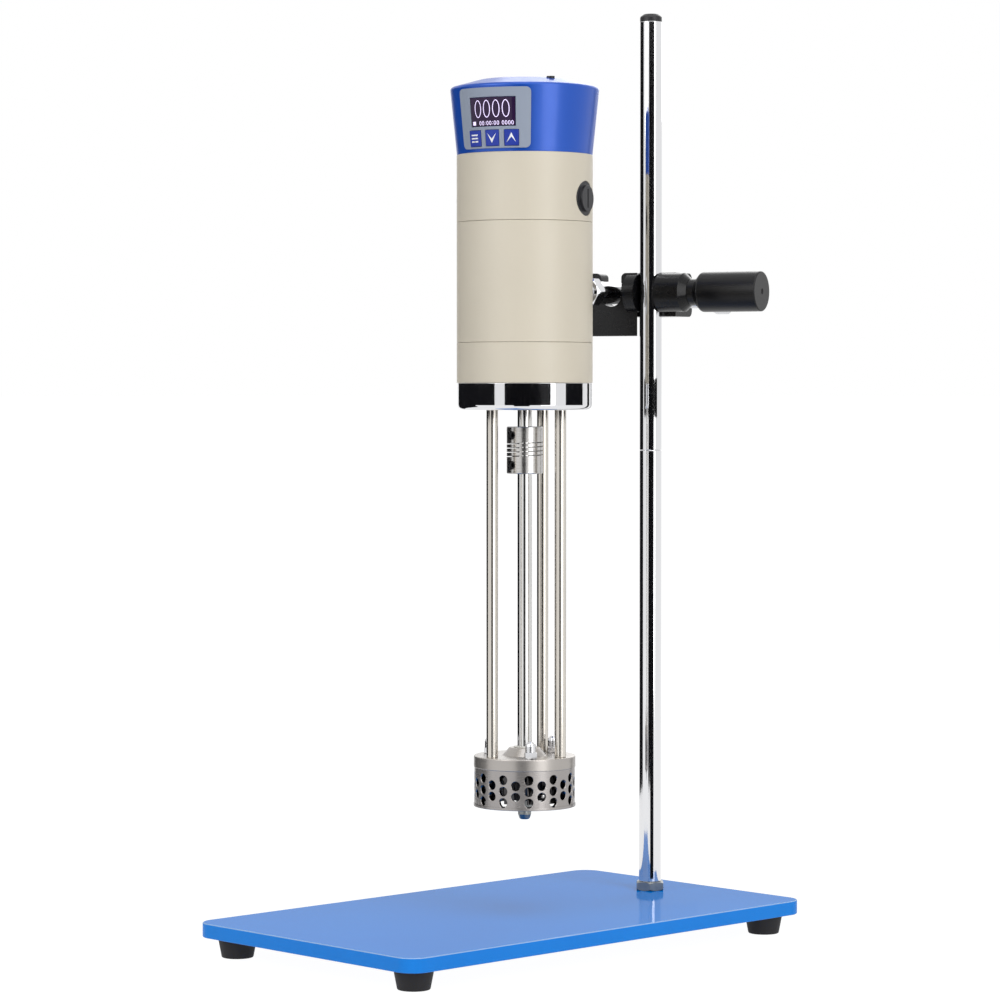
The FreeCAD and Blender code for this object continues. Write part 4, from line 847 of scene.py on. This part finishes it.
# Coupling: a beam coupling turned from one stainless bar, with a fine spiral slit and two
# black set screws that bite on the shafts.
bar = Finish("coupling_steel", metallic=1.0)
tool_marks = bar.grain(60, (1, 1, 26))
bright_skin = bar.blend(tool_marks, shade(176, 174, 172), shade(204, 202, 200))
MOTOR_CENTRE = (MOTOR_X * MM, MOTOR_Y * MM, 0)
# Painted shade: inside a 12.3 mm radius, the slit and the bore are painted near black.
bar.feed("Base Color", bar.blend(bar.painted_shade_within(MOTOR_CENTRE, 0.0123), bright_skin, shade(40, 40, 42)))
bar.feed("Roughness", tool_marks * 0.12 + 0.16)
bar.relief(tool_marks, 0.00003, 0.3)


def turned_skin(mesh, cosine=0.9):
    """Give the faces of a turned skin the exact outward normal, and leave the others flat."""
    normals = []
    for face in mesh.polygons:
        out = Vector((face.center.x - MOTOR_X, face.center.y - MOTOR_Y, 0)).normalized()
        for corner in face.vertices:
            at = mesh.vertices[corner].co
            radial = Vector((at.x - MOTOR_X, at.y - MOTOR_Y, 0)).normalized()
            normals.append(radial if face.normal.dot(out) > cosine else face.normal.copy())
    mesh.normals_split_custom_set(normals)
    return mesh


fitted("spiral_coupling", turned_skin(bevelled("shaft_coupling", 0)), bar, "drive",
       "coupling_steel", "shaft_coupling")
fitted("coupling_set_screws", bevelled("coupling_screws", 0.2), oxide, "drive",
       "set_screw_black", "coupling_screws")

# Guide rods: three 8 mm ground stainless rods, screwed up into the end bell and down into the
# head plate.
rod_steel = mottled("guide_steel", 30, (196, 191, 183), (216, 211, 203), 0.09, 0.05,
                    stretch=(1, 1, 0.15), detail=2, metallic=1.0)


def joined(name, meshes):
    """Several meshes in one."""
    work = bmesh.new()
    for mesh in meshes:
        work.from_mesh(mesh)
    made = bpy.data.meshes.new(name)
    work.to_mesh(made)
    work.free()
    return made


RODS_OUT = 28.0
rods = []
for turn in (0, -92, 154):
    across = Matrix.Rotation(math.radians(turn), 3, "Z") @ Vector((RODS_OUT, 0, 0))
    rods.append(turned("guide", [
        (0, 126), (3, 126), (3, 134), (4, 134, 0.3), (4, 373, 0.3), (3, 373), (3, 380), (0, 380)],
        MOTOR @ Matrix.Translation(across), 64))
fitted("ground_guides", smooth(joined("guide_rods", rods)), rod_steel, "motor_unit", "rod_chrome",
       "guide_rods")

# Shear head: a turned stainless plate with a conical boss and a white polymer bush, three
# plated cap nuts, and the perforated cage that they hold.
head_steel = Finish("head_steel", metallic=1.0)
turning = head_steel.grain(70, (1, 1, 24))
cloudy = head_steel.grain(22, detail=2)
head_steel.feed("Base Color", head_steel.blend(
    cloudy, shade(158, 154, 150), shade(182, 177, 172)))
head_steel.feed("Roughness", turning * 0.1 + cloudy * 0.1 + 0.2)
head_steel.relief(turning, 0.00002, 0.25)
deck = turned("head_disc", [
    (7.5, 126), (35.2, 126, 0.4), (35.2, 134, 0.7), (15.5, 134), (10.5, 139.5, 0.6),
    (7.5, 139.5)], MOTOR, 160)
fitted("head_disc", deck, head_steel, "motor_unit", "head_steel", "head_plate")
polymer = mottled("bush_polymer", 60, (222, 221, 214), (236, 235, 230), 0.4, 0.1,
                  specular_ior_level=0.4)
coat(polymer, "head_bush")
coat(turned_steel, "cage_studs")

ring_tree = pattern_tree("pieces_on_a_ring", [
    ("Count", "Int"), ("Radius", "Float"), ("First angle", "Float"), ("Height", "Float")])
asked = ring_tree.nodes.new("NodeGroupInput").outputs
hoop = tree_node(ring_tree, "GeometryNodeMeshCircle", {
    "Vertices": asked["Count"], "Radius": asked["Radius"]})
first_turn = tree_node(ring_tree, "ShaderNodeCombineXYZ", {"Z": asked["First angle"]})
lifted_by = tree_node(ring_tree, "ShaderNodeCombineXYZ", {"Z": asked["Height"]})
stood = tree_node(ring_tree, "GeometryNodeTransform", {
    "Geometry": hoop.outputs["Mesh"], "Rotation": first_turn.outputs[0],
    "Translation": lifted_by.outputs[0]})
position = ring_tree.nodes.new("GeometryNodeInputPosition")
here = tree_node(ring_tree, "ShaderNodeSeparateXYZ", {0: position.outputs[0]})
around = tree_node(ring_tree, "ShaderNodeMath", {0: here.outputs["Y"], 1: here.outputs["X"]})
around.operation = "ARCTAN2"
facing_out = tree_node(ring_tree, "ShaderNodeCombineXYZ", {"Z": around.outputs[0]})
pattern_closed(ring_tree, stood.outputs[0], facing_out.outputs[0], asked)

crown = turned("nut_crown", [
    (0, 4.3), (3.7, 4.3), (3.7, 8.6, 0.8), (3.2, 10.3, 1.2), (1.6, 11.8, 1.4), (0, 12)], steps=48)
cap_nut = joined("cap_nut", [hexagonal("nut_hexagon", 8, 0, 4.5, 0.7), crown])
cap_nuts = repeated(cap_nut, ring_tree, plated, count=3, radius=25.6,
                    first_angle=math.radians(-24), height=134.0)
cap_nuts.transform(MOTOR)
fitted("cap_nuts", smooth(cap_nuts), plated, "motor_unit", "fastener_steel", "acorn_nuts")

wall = turned("cage_wall", [
    (28.5, 99), (35.3, 99, 0.3), (35.3, 101), (34.8, 101), (34.8, 126), (8, 126), (8, 123),
    (31.8, 123), (31.8, 101.5), (28.5, 101)], steps=240)
hole_drill = turned("hole_drill", [
    (0, 29), (3, 29), (3, 34.2), (3.45, 34.9), (3.6, 37), (0, 37)], ALONG_X, 40)
ON_THE_AXIS = 0.001
rows_of_holes = [
    ("DIFFERENCE", repeated(hole_drill.copy(), ring_tree, head_steel, count=12,
                            radius=ON_THE_AXIS, first_angle=math.radians(first_angle),
                            height=height))
    for heights, first_angle in (((104.3, 112.1, 119.9), 1.5), ((108.2, 116.0), 16.5))
    for height in heights]
cage = carved(wall, *rows_of_holes)
cage.transform(MOTOR)
cage_steel = Finish("cage_steel", metallic=1.0)
brushed = cage_steel.grain(70, (1, 1, 24))
outside = cage_steel.blend(
    cage_steel.grain(24, detail=2), shade(146, 142, 140), shade(170, 166, 164))
# Painted shade: inside the outer wall, the holes' sides and the inner wall are painted near black.
cage_steel.feed("Base Color", cage_steel.blend(
    cage_steel.painted_shade_within(MOTOR_CENTRE, 0.0342), outside, shade(34, 33, 34)))
cage_steel.feed("Roughness", brushed * 0.14 + 0.22)
cage_steel.relief(brushed, 0.00002, 0.25)
fitted("perforated_cage", smooth(cage, 30), cage_steel, "motor_unit", "head_steel",
       "stator_cage")

# Rotor: a toothed stainless ring that turns inside the cage, with 0.4 mm of gap. A steel cap
# nut under the cage holds it on the shaft.
# Painted shade: the stainless rotor is painted dark grey, as it sits in the shade inside the cage.
rotor_steel_in_painted_shade = mottled("rotor_steel_in_painted_shade", 200, (58, 57, 58), (84, 83, 84), 0.25, 0.2,
                      relief=(200, 0.00004, 0.3), metallic=1.0)
fitted("toothed_rotor", bevelled("rotor", 0.2), rotor_steel_in_painted_shade, "drive", "head_steel", "rotor")
rotor_crown = turned("rotor_crown", [
    (0, 89.5), (3.4, 89.5, 1.6), (4.6, 93, 1.4), (4.6, 97.2), (0, 97.2)], steps=64)
rotor_nut = joined("rotor_cap_nut", [
    hexagonal("rotor_hexagon", 10, 97, 103, 0.8, bore=3.0), rotor_crown])
rotor_nut.transform(MOTOR)
fitted("rotor_cap_nut", smooth(rotor_nut), nut_steel, "drive", "fastener_steel", "rotor_nut")
